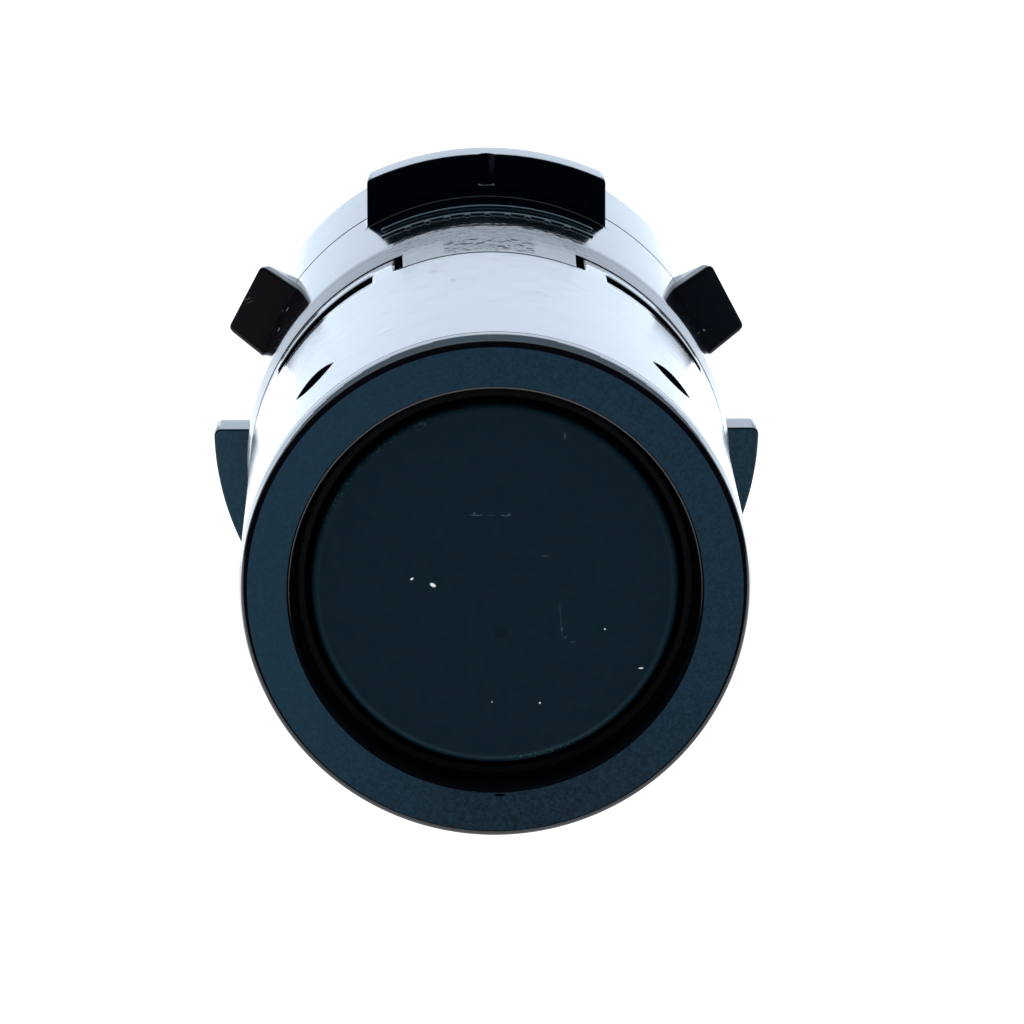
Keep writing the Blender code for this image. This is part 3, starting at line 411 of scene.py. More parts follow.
# Front sleeve
# A thin-walled tube of black plastic with a flat ring for a face, moulded in one piece. It pushes over
# the barrel's nose, and its four windows snap over ridges there. The face is finely textured.
sleeve_low, sleeve_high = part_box("front_sleeve")
SLEEVE_RADIUS = sleeve_high.x
SLEEVE_FRONT = sleeve_low.y
SLEEVE_REAR = sleeve_high.y
SLEEVE_BORE = SLEEVE_RADIUS - 1.2 * MM
FRONT_WALL = 2.2 * MM
MOUTH_ROUND = 0.16 * MM
SHOULDER_ROUND = 0.3 * MM
SHOULDER_DROP = 0.425 * MM
SHOULDER_END = 12
LEAD_IN = 1.6 * MM
CHAMFER_LENGTH = 1.05 * MM
CHAMFER_REAR_DROP = 0.012 * MM
CHAMFER_STEPS = 9
CHAMFER_REFLECTION_ANGLE = 58
NOTCH_FLOOR = SLEEVE_REAR - 2.9 * MM
NOTCH_HALF_ANGLE = 23
WINDOW_REAR = SLEEVE_REAR - 1.6 * MM
WINDOW_FRONT = WINDOW_REAR - 1.7 * MM
WINDOW_START = 29
WINDOW_END = 61
SLEEVE_STEPS = 360
EYE_ANGLE = 45.2
EYE_WIDTH = 2.6 * MM
EYE_LENGTH = 2.5 * MM
EYE_DEPTH = 0.75 * MM
EYE_FROM_FACE = 7.7 * MM
EYE_MARGIN = 0.5 * MM
CREASE_HALF_WIDTH = 0.05 * MM
CREASE_DEPTH = 0.09 * MM
NICK_MIDDLE = Vector((0.21 * MM, SLEEVE_FRONT - MM, -9.85 * MM))
NICK_WIDTH = 0.56 * MM
NICK_HEIGHT = 0.15 * MM
NICK_DEPTH = 0.12 * MM
SLEEVE_EDGE = 0.08 * MM
FLARE = 0.035 * MM
FLARE_START = 12 * MM
FLARE_STEPS = 8


def angle_of(point):
    """Degrees round the axis from the top, towards +X."""
    return math.degrees(math.atan2(point.x, point.z))


def radius_of(point):
    return math.hypot(point.x, point.z)


def at_window(point):
    """Whether the point lies in the angle and length of one of the four latch windows."""
    angle = abs(angle_of(point))
    beside = min(angle, 180 - angle)
    return WINDOW_START < beside < WINDOW_END and WINDOW_FRONT < point.y < WINDOW_REAR


def cut(piece, tool, operation="DIFFERENCE"):
    """Cuts or joins with another closed piece, which is used up."""
    modifier = piece.modifiers.new(tool.name, "BOOLEAN")
    modifier.operation = operation
    modifier.solver = "EXACT"
    modifier.object = tool
    bpy.context.view_layer.objects.active = piece
    bpy.ops.object.modifier_apply(modifier=modifier.name)
    bpy.data.objects.remove(tool)


def edit(piece):
    activate(piece)
    bpy.ops.object.mode_set(mode="EDIT")


def flare(share):
    """How far the sleeve's rear part widens, from where it starts (0) to the windows (1)."""
    return FLARE * share * share


def pulled(name, points, way):
    """A flat outline, drawn and filled, then extruded along one way."""
    piece = drawn(name, points)
    select_all()
    bpy.ops.mesh.edge_face_add()
    bpy.ops.mesh.extrude_region_move(TRANSFORM_OT_translate={"value": way})
    return settled(piece)


def pointed_oval(middle, along, across, steps=16):
    """The outline of an eye shape, from its middle to the ends of along and across."""
    points = []
    for side in (-1, 1):
        for step in range(steps):
            share = -side * math.cos(math.pi * step / steps)
            points.append(middle + along * share + across * (side * (1 - share * share)))
    return points


def rounded(piece, width, segments=3, wanted=lambda edge: True):
    """Rounds the sharp edges that are wanted."""
    edit(piece)
    pick(piece, "EDGE", lambda edge: len(edge.link_faces) == 2
         and edge.calc_face_angle() > math.radians(35) and wanted(edge))
    bpy.ops.mesh.bevel(offset=width, segments=segments, affect="EDGES", clamp_overlap=True)
    return settled(piece)


mouth = bend((MOUTH_RADIUS + MOUTH_ROUND, SLEEVE_FRONT + MOUTH_ROUND), MOUTH_ROUND, 180, 270, 4)
shoulder_middle = SLEEVE_RADIUS - SHOULDER_DROP
shoulder = bend((shoulder_middle, SLEEVE_FRONT + SHOULDER_ROUND), SHOULDER_ROUND, -90, -SHOULDER_END, 6)
chamfer_start = Vector(shoulder[-1])
chamfer_end = Vector((SLEEVE_RADIUS - CHAMFER_REAR_DROP, SLEEVE_FRONT + CHAMFER_LENGTH))
for step in range(1, CHAMFER_STEPS + 1):
    shoulder.append(tuple(chamfer_start.lerp(chamfer_end, step / CHAMFER_STEPS)))
crease = SLEEVE_FRONT + LEAD_IN
eye_place = SLEEVE_FRONT + EYE_FROM_FACE
sleeve_section = [*mouth, *shoulder, (SLEEVE_RADIUS, crease - CREASE_HALF_WIDTH)]
sleeve_section += [(SLEEVE_RADIUS - CREASE_DEPTH, crease), (SLEEVE_RADIUS, crease + CREASE_HALF_WIDTH)]
for place in (eye_place - EYE_LENGTH / 2 - EYE_MARGIN, eye_place + EYE_LENGTH / 2 + EYE_MARGIN):
    sleeve_section.append((SLEEVE_RADIUS, place))
for step in range(FLARE_STEPS):
    share = step / FLARE_STEPS
    sleeve_section.append((SLEEVE_RADIUS + flare(share), FLARE_START + (WINDOW_FRONT - FLARE_START) * share))
sleeve_section += [(SLEEVE_RADIUS + flare(1.0), WINDOW_FRONT), (SLEEVE_RADIUS + FLARE, NOTCH_FLOOR)]
sleeve_section += [(SLEEVE_BORE, NOTCH_FLOOR), (SLEEVE_BORE, WINDOW_FRONT)]
sleeve_section += [(SLEEVE_BORE, SLEEVE_FRONT + FRONT_WALL), (MOUTH_RADIUS, SLEEVE_FRONT + FRONT_WALL)]
sleeve = turned("sensor_sleeve", sleeve_section, SLEEVE_STEPS)

edit(sleeve)
previous = NOTCH_FLOOR
for station in (WINDOW_REAR, SLEEVE_REAR):
    pick(sleeve, "FACE", lambda face: abs(face.calc_center_median().y - previous) < MERGE_DISTANCE
         and abs(face.normal.y) > 0.9 and abs(angle_of(face.calc_center_median())) > NOTCH_HALF_ANGLE)
    bpy.ops.mesh.extrude_region_move(TRANSFORM_OT_translate={"value": (0, station - previous, 0)})
    previous = station
pick(sleeve, "FACE", lambda face: at_window(face.calc_center_median()) and abs(face.normal.y) < 0.1)
bpy.ops.mesh.delete(type="FACE")
for side_x in (-1, 1):
    for side_z in (-1, 1):
        pick(sleeve, "EDGE", lambda edge: edge.is_boundary and edge.verts[0].co.x * side_x > 0
             and edge.verts[0].co.z * side_z > 0)
        bpy.ops.mesh.bridge_edge_loops()
settled(sleeve)
rounded(sleeve, SLEEVE_EDGE, 2, lambda edge: all(
    vert.co.y > WINDOW_FRONT - NEAR and radius_of(vert.co) > SLEEVE_RADIUS - NEAR for vert in edge.verts
))
for side in (-1, 1):
    outward = at_angle(1.0, side * EYE_ANGLE)
    eye = pointed_oval(
        outward * (SLEEVE_RADIUS + MM) + Vector((0, eye_place, 0)),
        at_angle(EYE_WIDTH / 2, side * EYE_ANGLE + 90),
        Vector((0, EYE_LENGTH / 2, 0)),
    )
    cut(sleeve, pulled("eye_pocket", eye, -outward * (MM + EYE_DEPTH)))
nick = pointed_oval(NICK_MIDDLE, Vector((NICK_WIDTH / 2, 0, 0)), Vector((0, 0, NICK_HEIGHT / 2)), 8)
cut(sleeve, pulled("gate_nick", nick, Vector((0, MM + NICK_DEPTH, 0))))
smooth(sleeve)
painted = Finish("glossy_black_sleeve", (0.0012, 0.002, 0.0038), 0.1)
painted.uneven(1.4 * MM, 0.11, 0.15)
rubbed = painted.any_of(
    painted.smudge(-1.86, 13.8, 0.16, 0.5), painted.smudge(-5.1, 6.5, 0.4, 0.6, 0.6),
    painted.smudge(2.2, 11.0, 0.9, 0.7, 0.5), painted.smudge(-2.8, 17.0, 0.3, 0.8, 0.4),
    painted.smudge(4.4, 16.0, 0.5, 0.9, 0.4),
)
rubbed = painted.all_of(rubbed, painted.spread(painted.noise(0.35 * MM, 3.0), 0.35, 0.6))
painted.bump(rubbed, 0.012 * MM)
painted.give("Coat Weight", 0.3)
painted.give("Coat Roughness", 0.12)
painted.bump(painted.noise(1.5 * MM, 2.0), 0.0006 * MM)


def scaled(color, share):
    return tuple(value * share for value in color)


def grain_and_painted_shade_finish(name, low, high):
    """Fine spark-eroded grain, as on the faces that show to the front. Its tone has painted shade, darker
    towards the bottom, and painted light, lighter towards -X.
    """
    made = Finish(name, high, 0.6)
    x, _, z = made.axes()
    tone = made.mix(made.noise(0.5 * MM, 4.0), low, high)
    # Painted shade: the tone darkens towards the bottom.
    tone = made.mix(made.spread(z, -2 * MM, -14 * MM, 0.0, 0.8), tone, scaled(low, 0.35))
    # Painted light: the tone lightens towards -X.
    tone = made.mix(made.spread(x, 2 * MM, -14 * MM, 0.0, 0.7), tone, scaled(high, 1.4))
    grain = made.noise(0.13 * MM, 3.0, 0.6)
    made.color(made.mix(made.spread(grain, 0.3, 0.7, 0.0, 0.45), tone, scaled(high, 1.9)))
    made.give("Specular IOR Level", 0.12)
    made.bump(grain, 0.03 * MM)
    return made


grained = grain_and_painted_shade_finish("grained_black_plastic", (0.0046, 0.0205, 0.037), (0.0068, 0.027, 0.047))
# A satin finish for the front chamfer. Its lighter colour is a painted reflection band along the top.
satin_rim_painted_reflection = Finish("satin_black_rim_painted_reflection", (0.026, 0.052, 0.074), 0.5)
satin_rim_painted_reflection.give("Specular IOR Level", 0.04)
satin_rim_painted_reflection.two_tone(0.5 * MM, (0.023, 0.047, 0.067), (0.030, 0.058, 0.082))
satin_rim_painted_reflection.bump(satin_rim_painted_reflection.noise(0.2 * MM), 0.006 * MM)
for finish in (painted, grained, satin_rim_painted_reflection):
    sleeve.data.materials.append(finish.material)


def dressed(piece, slot_number, wanted):
    """Gives the faces that are wanted another of the piece's materials."""
    edit(piece)
    pick(piece, "FACE", wanted)
    piece.active_material_index = slot_number
    bpy.ops.object.material_slot_assign()
    bpy.ops.object.mode_set(mode="OBJECT")


dressed(
    sleeve, 1, lambda face: face.normal.y < -0.995 and face.calc_center_median().y < SLEEVE_FRONT + 5 * NEAR
)


def on_chamfer_painted_reflection(face):
    """Whether the face lies on the chamfer's satin part, whose lighter colour is a painted reflection band
    that narrows down both sides from the top.
    """
    middle = face.calc_center_median()
    share = 1 - (angle_of(middle) / CHAMFER_REFLECTION_ANGLE) ** 2
    low, high = chamfer_start.y, chamfer_start.y + (chamfer_end.y - chamfer_start.y) * share
    return low < middle.y < high and radius_of(middle) > shoulder_middle


# The top of the chamfer gets the satin finish with its painted reflection.
dressed(sleeve, 2, on_chamfer_painted_reflection)
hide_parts("front_sleeve")
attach(sleeve, "root")

# Main housing
# One black plastic moulding: a thin nose that carries the sleeve and the board's rails, and a wider
# barrel with the stop bar on top, a square lug on each side and a half flange that seats on the bracket.
housing_low, housing_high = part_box("main_housing")
BODY_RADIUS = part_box("rear_housing")[1].x
BODY_BORE = BODY_RADIUS - 1.5 * MM
WALL_MIDDLE = (BODY_RADIUS + BODY_BORE) / 2
WALL_HALF = BODY_RADIUS - WALL_MIDDLE
COLLAR_RADIUS = BODY_RADIUS - 0.2 * MM
COLLAR_TAPER = 0.15 * MM
COLLAR_EDGE = 0.05 * MM
JOINT_HALF_WIDTH = 0.02 * MM
JOINT_DEPTH = 0.015 * MM
CONE_LENGTH = 1.0 * MM
CONE_STEPS = 6
COLLAR_LENGTH = 1.85 * MM
COLLAR_FRONT = SLEEVE_REAR + FIT
COLLAR_REAR = COLLAR_FRONT + COLLAR_LENGTH
SPIGOT_FRONT = housing_low.y
SPIGOT_RADIUS = SLEEVE_BORE - FIT
SPIGOT_MIDDLE = SPIGOT_RADIUS - 0.6 * MM
SPIGOT_BORE = SPIGOT_RADIUS - 1.2 * MM
BORE_STEP = COLLAR_FRONT + 1.5 * MM
HOUSING_REAR = housing_high.y
FLANGE_THICKNESS = 2.5 * MM
SEAT_FRONT = HOUSING_REAR - 0.25 * MM - FLANGE_THICKNESS
FLANGE_RADIUS = BODY_RADIUS + 1.91 * MM
FLANGE_EDGE = 0.14 * MM
WING_CORNER = 0.35 * MM
BARREL_STEPS = 180
BAR_HALF_WIDTH = 6.16 * MM
BAR_HALF_ANGLE = 33
BAR_TOP = BODY_RADIUS + 2.2 * MM
BAR_THICKNESS = 2.3 * MM
BAR_EDGE = 0.18 * MM
BAR_NOTCH_RADIUS = 0.42 * MM
BAR_NOTCH_DEPTH = 1.6 * MM
BAR_NOTCH_ROUND = 0.22 * MM
LUG_HEIGHT = 2.12 * MM
LUG_ANGLE = 60.8
LUG_FACE_ANGLE = 62.3
LUG_MIDDLE = at_angle(BODY_RADIUS + LUG_HEIGHT, LUG_ANGLE, SEAT_FRONT)
LUG_SIDES = (at_angle(1.0, 56.0), at_angle(1.0, 50.5))
LUG_ACROSS = at_angle(1.0, LUG_FACE_ANGLE + 90)
LUG_FOOT_SPAN = (40, 80)
LUG_SIDE_SPAN = (46, 76)
LUG_FRONT_SPAN = (45, 75)
LUG_WIDTH = 3.78 * MM
LUG_CREST = 1.3 * MM
LUG_CREST_DROP = 0.3 * MM
LUG_RAMP = 1.9 * MM
LUG_EDGE = 0.26 * MM
FOOT_FILLET = 0.16 * MM
LUG_FILLET = 0.45 * MM
KEY_HALF_ANGLE = 21
KEY_GAP = 0.05 * MM
KEY_SINK = 0.02 * MM
KEY_OVERLAP = 0.3 * MM
RIDGE_HEIGHT = 0.85 * MM
RIB_HALF_ANGLE = 26
RIB_HEIGHT = 0.1 * MM
RIB_WIDTH = 0.25 * MM
RIB_EDGE = 0.05 * MM
RIB_PLACES = (2.95 * MM, 5.0 * MM)
PIP_RADIUS = 0.24 * MM
PIP_COUNT = 9
PIP_STEP = 4.8
PIP_PLACE = SEAT_FRONT - 5.25 * MM
PIP_MARGIN = 0.4 * MM
BOARD_SLOT = (Vector((-8.7, 12.6, -2.02)) * MM, Vector((8.7, 33.15, -0.22)) * MM)
RAIL_LIP = 0.9 * MM
RAIL_INNER = 7.6 * MM
RAIL_FRONT = 12.1 * MM
RAIL_STEP = COLLAR_FRONT + 0.75 * MM
RAIL_REAR = 32.15 * MM
PANEL_HALF_WIDTH = 2.39 * MM
PANEL_FRONT = 21.4 * MM
PANEL_MIDDLE = 24.6 * MM
PANEL_REAR = 27.0 * MM
PANEL_RELIEF = 0.055 * MM


def arc_piece(name, section, start, end, step_angle=1):
    """A closed (radius, y) section swept round the axis from one angle to another."""
    piece = drawn(name, [at_angle(radius, start, y) for radius, y in section])
    select_all()
    bpy.ops.mesh.edge_face_add()
    steps = round((end - start) / step_angle)
    bpy.ops.mesh.spin(steps=steps, angle=-math.radians(end - start), center=(0, 0, 0), axis=(0, 1, 0))
    return settled(piece)


def oblong(inner, outer, front, rear):
    """A rectangle as a (radius, y) section."""
    return [(inner, front), (outer, front), (outer, rear), (inner, rear)]


def cuboid(name, low, high):
    """A box between two corners, added as a cube and resized."""
    bpy.ops.object.select_all(action="DESELECT")
    bpy.ops.mesh.primitive_cube_add(size=1)
    piece = bpy.context.object
    piece.name = piece.data.name = name
    bpy.ops.object.mode_set(mode="EDIT")
    bpy.ops.transform.resize(value=[b - a for a, b in zip(low, high)])
    bpy.ops.transform.translate(value=[(a + b) / 2 for a, b in zip(low, high)])
    return settled(piece)


collar_rear_radius = COLLAR_RADIUS + COLLAR_TAPER
barrel_section = [(SPIGOT_RADIUS, SPIGOT_FRONT), (SPIGOT_RADIUS, COLLAR_FRONT)]
barrel_section += bend((COLLAR_RADIUS - COLLAR_EDGE, COLLAR_FRONT + COLLAR_EDGE), COLLAR_EDGE, -90, 0, 2)
barrel_section += [(collar_rear_radius, COLLAR_REAR - JOINT_HALF_WIDTH)]
barrel_section += [(collar_rear_radius - JOINT_DEPTH, COLLAR_REAR)]
cone_start, cone_end = COLLAR_REAR + JOINT_HALF_WIDTH, COLLAR_REAR + CONE_LENGTH
for step in range(CONE_STEPS + 1):
    share = step / CONE_STEPS
    place = cone_start + (cone_end - cone_start) * share
    barrel_section.append((BODY_RADIUS - (BODY_RADIUS - collar_rear_radius) * (1 - share) ** 2, place))
for place in (PIP_PLACE - PIP_MARGIN, PIP_PLACE + PIP_MARGIN, SEAT_FRONT - 0.6 * MM):
    barrel_section.append((BODY_RADIUS, place))
barrel_section += [(BODY_RADIUS, HOUSING_REAR), (BODY_BORE, HOUSING_REAR), (BODY_BORE, BORE_STEP)]
barrel_section += [(SPIGOT_BORE, BORE_STEP), (SPIGOT_BORE, SPIGOT_FRONT)]
housing = turned("sensor_housing", barrel_section, BARREL_STEPS)
edit(housing)
select_all()
bpy.ops.transform.rotate(value=math.radians(1), orient_axis="Y", center_override=(0, 0, 0))
settled(housing)

bar_section = oblong(WALL_MIDDLE, BAR_TOP, SEAT_FRONT, SEAT_FRONT + BAR_THICKNESS)
bar = arc_piece("stop_bar", bar_section, -BAR_HALF_ANGLE, BAR_HALF_ANGLE, 3)
edit(bar)
for side in (-1, 1):
    select_all()
    bpy.ops.mesh.bisect(
        plane_co=(side * BAR_HALF_WIDTH, 0, 0), plane_no=(side, 0, 0), use_fill=True, clear_outer=True
    )
select_all()
bpy.ops.mesh.dissolve_limited(angle_limit=math.radians(0.5))
settled(bar)
rounded(bar, BAR_EDGE)
bpy.ops.object.select_all(action="DESELECT")
notch_depth = BAR_NOTCH_DEPTH + MM
notch_middle = (0, SEAT_FRONT, BAR_TOP + MM - notch_depth / 2)
bpy.ops.mesh.primitive_cylinder_add(
    vertices=32, radius=BAR_NOTCH_RADIUS, depth=notch_depth, location=notch_middle
)
notch_tool = rounded(bpy.context.object, BAR_NOTCH_ROUND, 4)
cut(bar, notch_tool)

flange_section = oblong(WALL_MIDDLE, FLANGE_RADIUS, SEAT_FRONT, SEAT_FRONT + FLANGE_THICKNESS)
flange = arc_piece("half_flange", flange_section, 90, 270, 2)
rounded(flange, WING_CORNER, 4, lambda edge: all(
    vert.co.z > -MERGE_DISTANCE and radius_of(vert.co) > FLANGE_RADIUS - NEAR for vert in edge.verts
))
rounded(flange, FLANGE_EDGE)


def side_lug(name, side):
    """A square lug: a front level with the seat, a crest that falls a little, then a ramp to the barrel."""
    crests = [LUG_MIDDLE - LUG_ACROSS * LUG_WIDTH / 2, LUG_MIDDLE + LUG_ACROSS * LUG_WIDTH / 2]
    feet = []
    for crest, outward in zip(crests, LUG_SIDES):
        flat = Vector((crest.x, 0, crest.z))
        along = flat.dot(outward)
        back = along - math.sqrt(along * along - flat.length_squared + WALL_MIDDLE * WALL_MIDDLE)
        feet.append(crest - outward * back)
    outline = [feet[0], crests[0], crests[1], feet[1]]
    lug = pulled(name, outline, Vector((0, LUG_CREST, 0)))
    edit(lug)
    pick(lug, "FACE", lambda face: face.calc_center_median().y > SEAT_FRONT + LUG_CREST * 0.9)
    bpy.ops.mesh.extrude_region_move(TRANSFORM_OT_translate={"value": (0, LUG_RAMP, 0)})
    for crest, foot, outward in zip(crests, feet, LUG_SIDES):
        down_ramp = foot - crest + outward * WALL_HALF
        for depth, way in ((LUG_CREST, outward * -LUG_CREST_DROP), (LUG_CREST + LUG_RAMP, down_ramp)):
            end = crest + Vector((0, depth, 0))
            pick(lug, "VERT", lambda vert: (vert.co - end).length < MERGE_DISTANCE)
            bpy.ops.transform.translate(value=way)
    settled(lug)
    rounded(lug, LUG_EDGE)
    if side < 0:
        edit(lug)
        select_all()
        bpy.ops.transform.resize(value=(-1, 1, 1), center_override=(0, 0, 0))
        settled(lug)
    return lug


key_front, key_rear = NOTCH_FLOOR + KEY_GAP, COLLAR_FRONT + KEY_OVERLAP
key_section = [(SPIGOT_MIDDLE, key_front), (SLEEVE_RADIUS - KEY_SINK, key_front)]
key_section += [(COLLAR_RADIUS + 0.012 * MM, COLLAR_FRONT), (COLLAR_RADIUS + 0.018 * MM, key_rear)]
key_section += [(SPIGOT_MIDDLE, key_rear)]
key_tab = arc_piece("key_tab", key_section, -KEY_HALF_ANGLE, KEY_HALF_ANGLE)
additions = [bar, flange, side_lug("lug_left", -1), side_lug("lug_right", 1), key_tab]
ridge_front, ridge_rear = WINDOW_FRONT + FIT, WINDOW_REAR - FIT
ridge_section = [(SPIGOT_MIDDLE, ridge_front), (SPIGOT_RADIUS + RIDGE_HEIGHT / 2, ridge_front)]
ridge_section += [(SPIGOT_RADIUS + RIDGE_HEIGHT, (ridge_front + ridge_rear) / 2)]
ridge_section += [(SPIGOT_RADIUS + RIDGE_HEIGHT, ridge_rear), (SPIGOT_MIDDLE, ridge_rear)]
for number, start in enumerate((WINDOW_START, 180 - WINDOW_END, 180 + WINDOW_START, 360 - WINDOW_END)):
    width = WINDOW_END - WINDOW_START
    additions.append(arc_piece(f"ridge_{number}", ridge_section, start + 2, start + width - 2))
for number, from_bar in enumerate(RIB_PLACES):
    rib_rear = SEAT_FRONT - from_bar + RIB_WIDTH / 2
    section = oblong(WALL_MIDDLE, BODY_RADIUS + RIB_HEIGHT, rib_rear - RIB_WIDTH, rib_rear)
    rib = arc_piece(f"rib_{number}", section, -RIB_HALF_ANGLE, RIB_HALF_ANGLE)
    additions.append(rounded(rib, RIB_EDGE, 2))
bpy.ops.object.select_all(action="DESELECT")
bpy.ops.mesh.primitive_uv_sphere_add(segments=16, ring_count=8, radius=PIP_RADIUS)
pips = bpy.context.object
bpy.ops.object.mode_set(mode="EDIT")
first_pip = at_angle(BODY_RADIUS - PIP_RADIUS / 2, -PIP_STEP * (PIP_COUNT - 1) / 2, PIP_PLACE)
bpy.ops.transform.translate(value=first_pip)
for number in range(PIP_COUNT - 1):
    bpy.ops.mesh.duplicate()
    bpy.ops.transform.rotate(value=-math.radians(PIP_STEP), orient_axis="Y", center_override=(0, 0, 0))
additions.append(settled(pips))
slot_low, slot_high = BOARD_SLOT
rail_low, rail_high = slot_low.z - RAIL_LIP, slot_high.z + RAIL_LIP
rail_narrow = math.sqrt(((SPIGOT_RADIUS + SPIGOT_BORE) / 2) ** 2 - rail_low ** 2)
rail_wide = math.sqrt(WALL_MIDDLE ** 2 - rail_low ** 2)
rail_plan = [(RAIL_INNER, RAIL_FRONT), (rail_narrow, RAIL_FRONT), (rail_narrow, RAIL_STEP)]
rail_plan += [(rail_wide, RAIL_STEP), (rail_wide, RAIL_REAR), (RAIL_INNER, RAIL_REAR)]
for side in (-1, 1):
    outline = [Vector((side * x, y, rail_low)) for x, y in rail_plan]
    additions.append(pulled("board_rail", outline, Vector((0, 0, rail_high - rail_low))))
for item in additions:
    cut(housing, item, "UNION")
cut(housing, cuboid("board_slot", slot_low, slot_high))


def at_foot(edge):
    """Whether an edge is an inner corner between the barrel and what stands on it."""
    on_barrel = all(abs(radius_of(vert.co) - BODY_RADIUS) < 0.004 * MM for vert in edge.verts)
    return on_barrel and not edge.is_convex and edge.verts[0].co.y > SEAT_FRONT - 0.1 * MM


def within(point, span):
    """Whether a point's angle from the top, on either side, lies in a span of degrees."""
    return span[0] < abs(angle_of(point)) < span[1]


def at_lug(edge):
    return within(edge.verts[0].co, LUG_FOOT_SPAN)


rounded(housing, LUG_FILLET, 4, lambda edge: at_foot(edge) and at_lug(edge))
rounded(housing, FOOT_FILLET, 3, lambda edge: at_foot(edge) and not at_lug(edge))
smooth(housing)
HOUSING_COLOR = (0.0007, 0.0013, 0.0036)
WORN_COLOR = (0.40, 0.44, 0.48)
black = Finish("glossy_black_housing", HOUSING_COLOR, 0.11)
black.give("IOR", 1.33)
place_x, place_y, place_z = black.axes()
beside = black.math("ABSOLUTE", place_x)
above = black.spread(place_z, 9 * MM, 10 * MM)
panel = black.any_of(
    black.all_of(
        black.spread(beside, PANEL_HALF_WIDTH, PANEL_HALF_WIDTH - 0.3 * MM),
        black.band(place_y, PANEL_FRONT, PANEL_REAR, 0.3 * MM),
    ),
    black.all_of(
        black.spread(beside, 5.8 * MM, 4.4 * MM),
        black.band(place_y, PANEL_MIDDLE, PANEL_REAR, 0.3 * MM),
    ),
)
panel = black.math("MULTIPLY", above, panel)
joints = black.all_of(
    above, black.band(beside, PANEL_HALF_WIDTH, PANEL_HALF_WIDTH + 0.03 * MM, 0.03 * MM),
    black.band(place_y, PANEL_FRONT, PANEL_REAR, 0.3 * MM),
)
hammered = black.noise(0.5 * MM, 1.0, 0.5, (1, 0.7, 1))
hammered = black.math("SUBTRACT", hammered, 0.5)
gloss = black.spread(black.noise(1.4 * MM), 0.3, 0.7, 0.095, 0.125)
black.roughness(black.math("MULTIPLY_ADD", panel, 0.06, gloss))
black.bump(black.math("MULTIPLY", hammered, panel), PANEL_RELIEF)
black.bump(black.math("MULTIPLY", joints, -1.0), 0.0025 * MM)
black.bump(black.noise(1.5 * MM, 2.0), 0.0006 * MM)
# A lighter copy of the grained finish for the flange's front faces. The extra lightness is painted light that
# lifts these faces out of their shade.
flange_grain_painted_lighter = grain_and_painted_shade_finish("grained_black_flange_painted_light", (0.0105, 0.034, 0.054), (0.015, 0.044, 0.068))
left_lug_specks = [
    (-10.33, 6.37, 0.12, 0.045, 25), (-10.5, 6.27, 0.08, 0.03, 25, 0.5), (-10.76, 5.31, 0.1, 0.045, 25),
    (-10.5, 5.38, 0.16, 0.025, 8, 0.4), (-12.33, 6.9, 0.2, 0.022, 22, 0.3),
    (-12.22, 6.75, 0.2, 0.02, 22, 0.2), (-12.6, 7.0, 0.06, 0.04, 0, 0.3),
]
right_lug_specks = [(11.28, 5.19, 0.07, 0.035, -20, 0.8), (10.36, 6.42, 0.1, 0.03, 0, 0.25)]
lug_face = Finish("worn_black_lug_painted_light", (0.006, 0.006, 0.008), 0.5)
# Painted light: the left lug's front is a little lighter and warmer than the right's. The specks below are
# wear.
painted_light_side = lug_face.spread(lug_face.axes()[0], -MM, MM)
lug_face.give("Specular IOR Level", 0.1)
lug_color = lug_face.mix(painted_light_side, (0.0112, 0.0080, 0.0122), (0.0022, 0.0060, 0.0118))
lug_tone = lug_face.spread(lug_face.noise(0.4 * MM), 0.4, 0.8, 0.0, 0.3)
lug_color = lug_face.mix(lug_tone, lug_color, (0.0070, 0.0110, 0.0170))
lug_face.color(lug_face.mix(lug_face.marks(left_lug_specks + right_lug_specks), lug_color, WORN_COLOR))
lug_face.bump(lug_face.noise(0.3 * MM), 0.01 * MM)
notch = black.all_of(
    black.spread(beside, BAR_NOTCH_RADIUS + 0.02 * MM, BAR_NOTCH_RADIUS),
    black.spread(place_y, SEAT_FRONT + BAR_NOTCH_RADIUS + 0.03 * MM, SEAT_FRONT + BAR_NOTCH_RADIUS),
)
notch_foot = BAR_TOP - BAR_NOTCH_DEPTH
# Painted highlight: a light line on the notch's floor near its front.
notch_floor_painted_highlight = black.all_of(
    black.band(place_z, notch_foot, notch_foot + 0.04 * MM, 0.04 * MM),
    black.spread(place_y, SEAT_FRONT + 0.14 * MM, SEAT_FRONT + 0.07 * MM),
)
notch_right = black.all_of(
    black.spread(place_x, 0.1 * MM, 0.2 * MM), black.spread(place_z, 13.1 * MM, 13.9 * MM),
    black.spread(place_y, SEAT_FRONT + 0.02 * MM, SEAT_FRONT + 0.06 * MM),
)
# Painted highlight: the tops of the raised ribs and pips are coloured lighter.
raised_tops_painted_highlight = black.all_of(
    black.spread(black.radius(), BODY_RADIUS + 0.03 * MM, BODY_RADIUS + 0.07 * MM),
    black.band(place_y, PIP_PLACE - PIP_MARGIN, SEAT_FRONT - 2 * MM, 0.1 * MM),
)
# Painted reflection: a faint bluish tint on the barrel's top in front of the bar.
under_bar_painted_reflection = black.all_of(above, black.band(place_y, PANEL_MIDDLE, SEAT_FRONT - 3 * MM, MM))
tone = black.mix(under_bar_painted_reflection, HOUSING_COLOR, (0.0010, 0.0042, 0.0085))
tone = black.mix(raised_tops_painted_highlight, tone, (0.045, 0.085, 0.115))
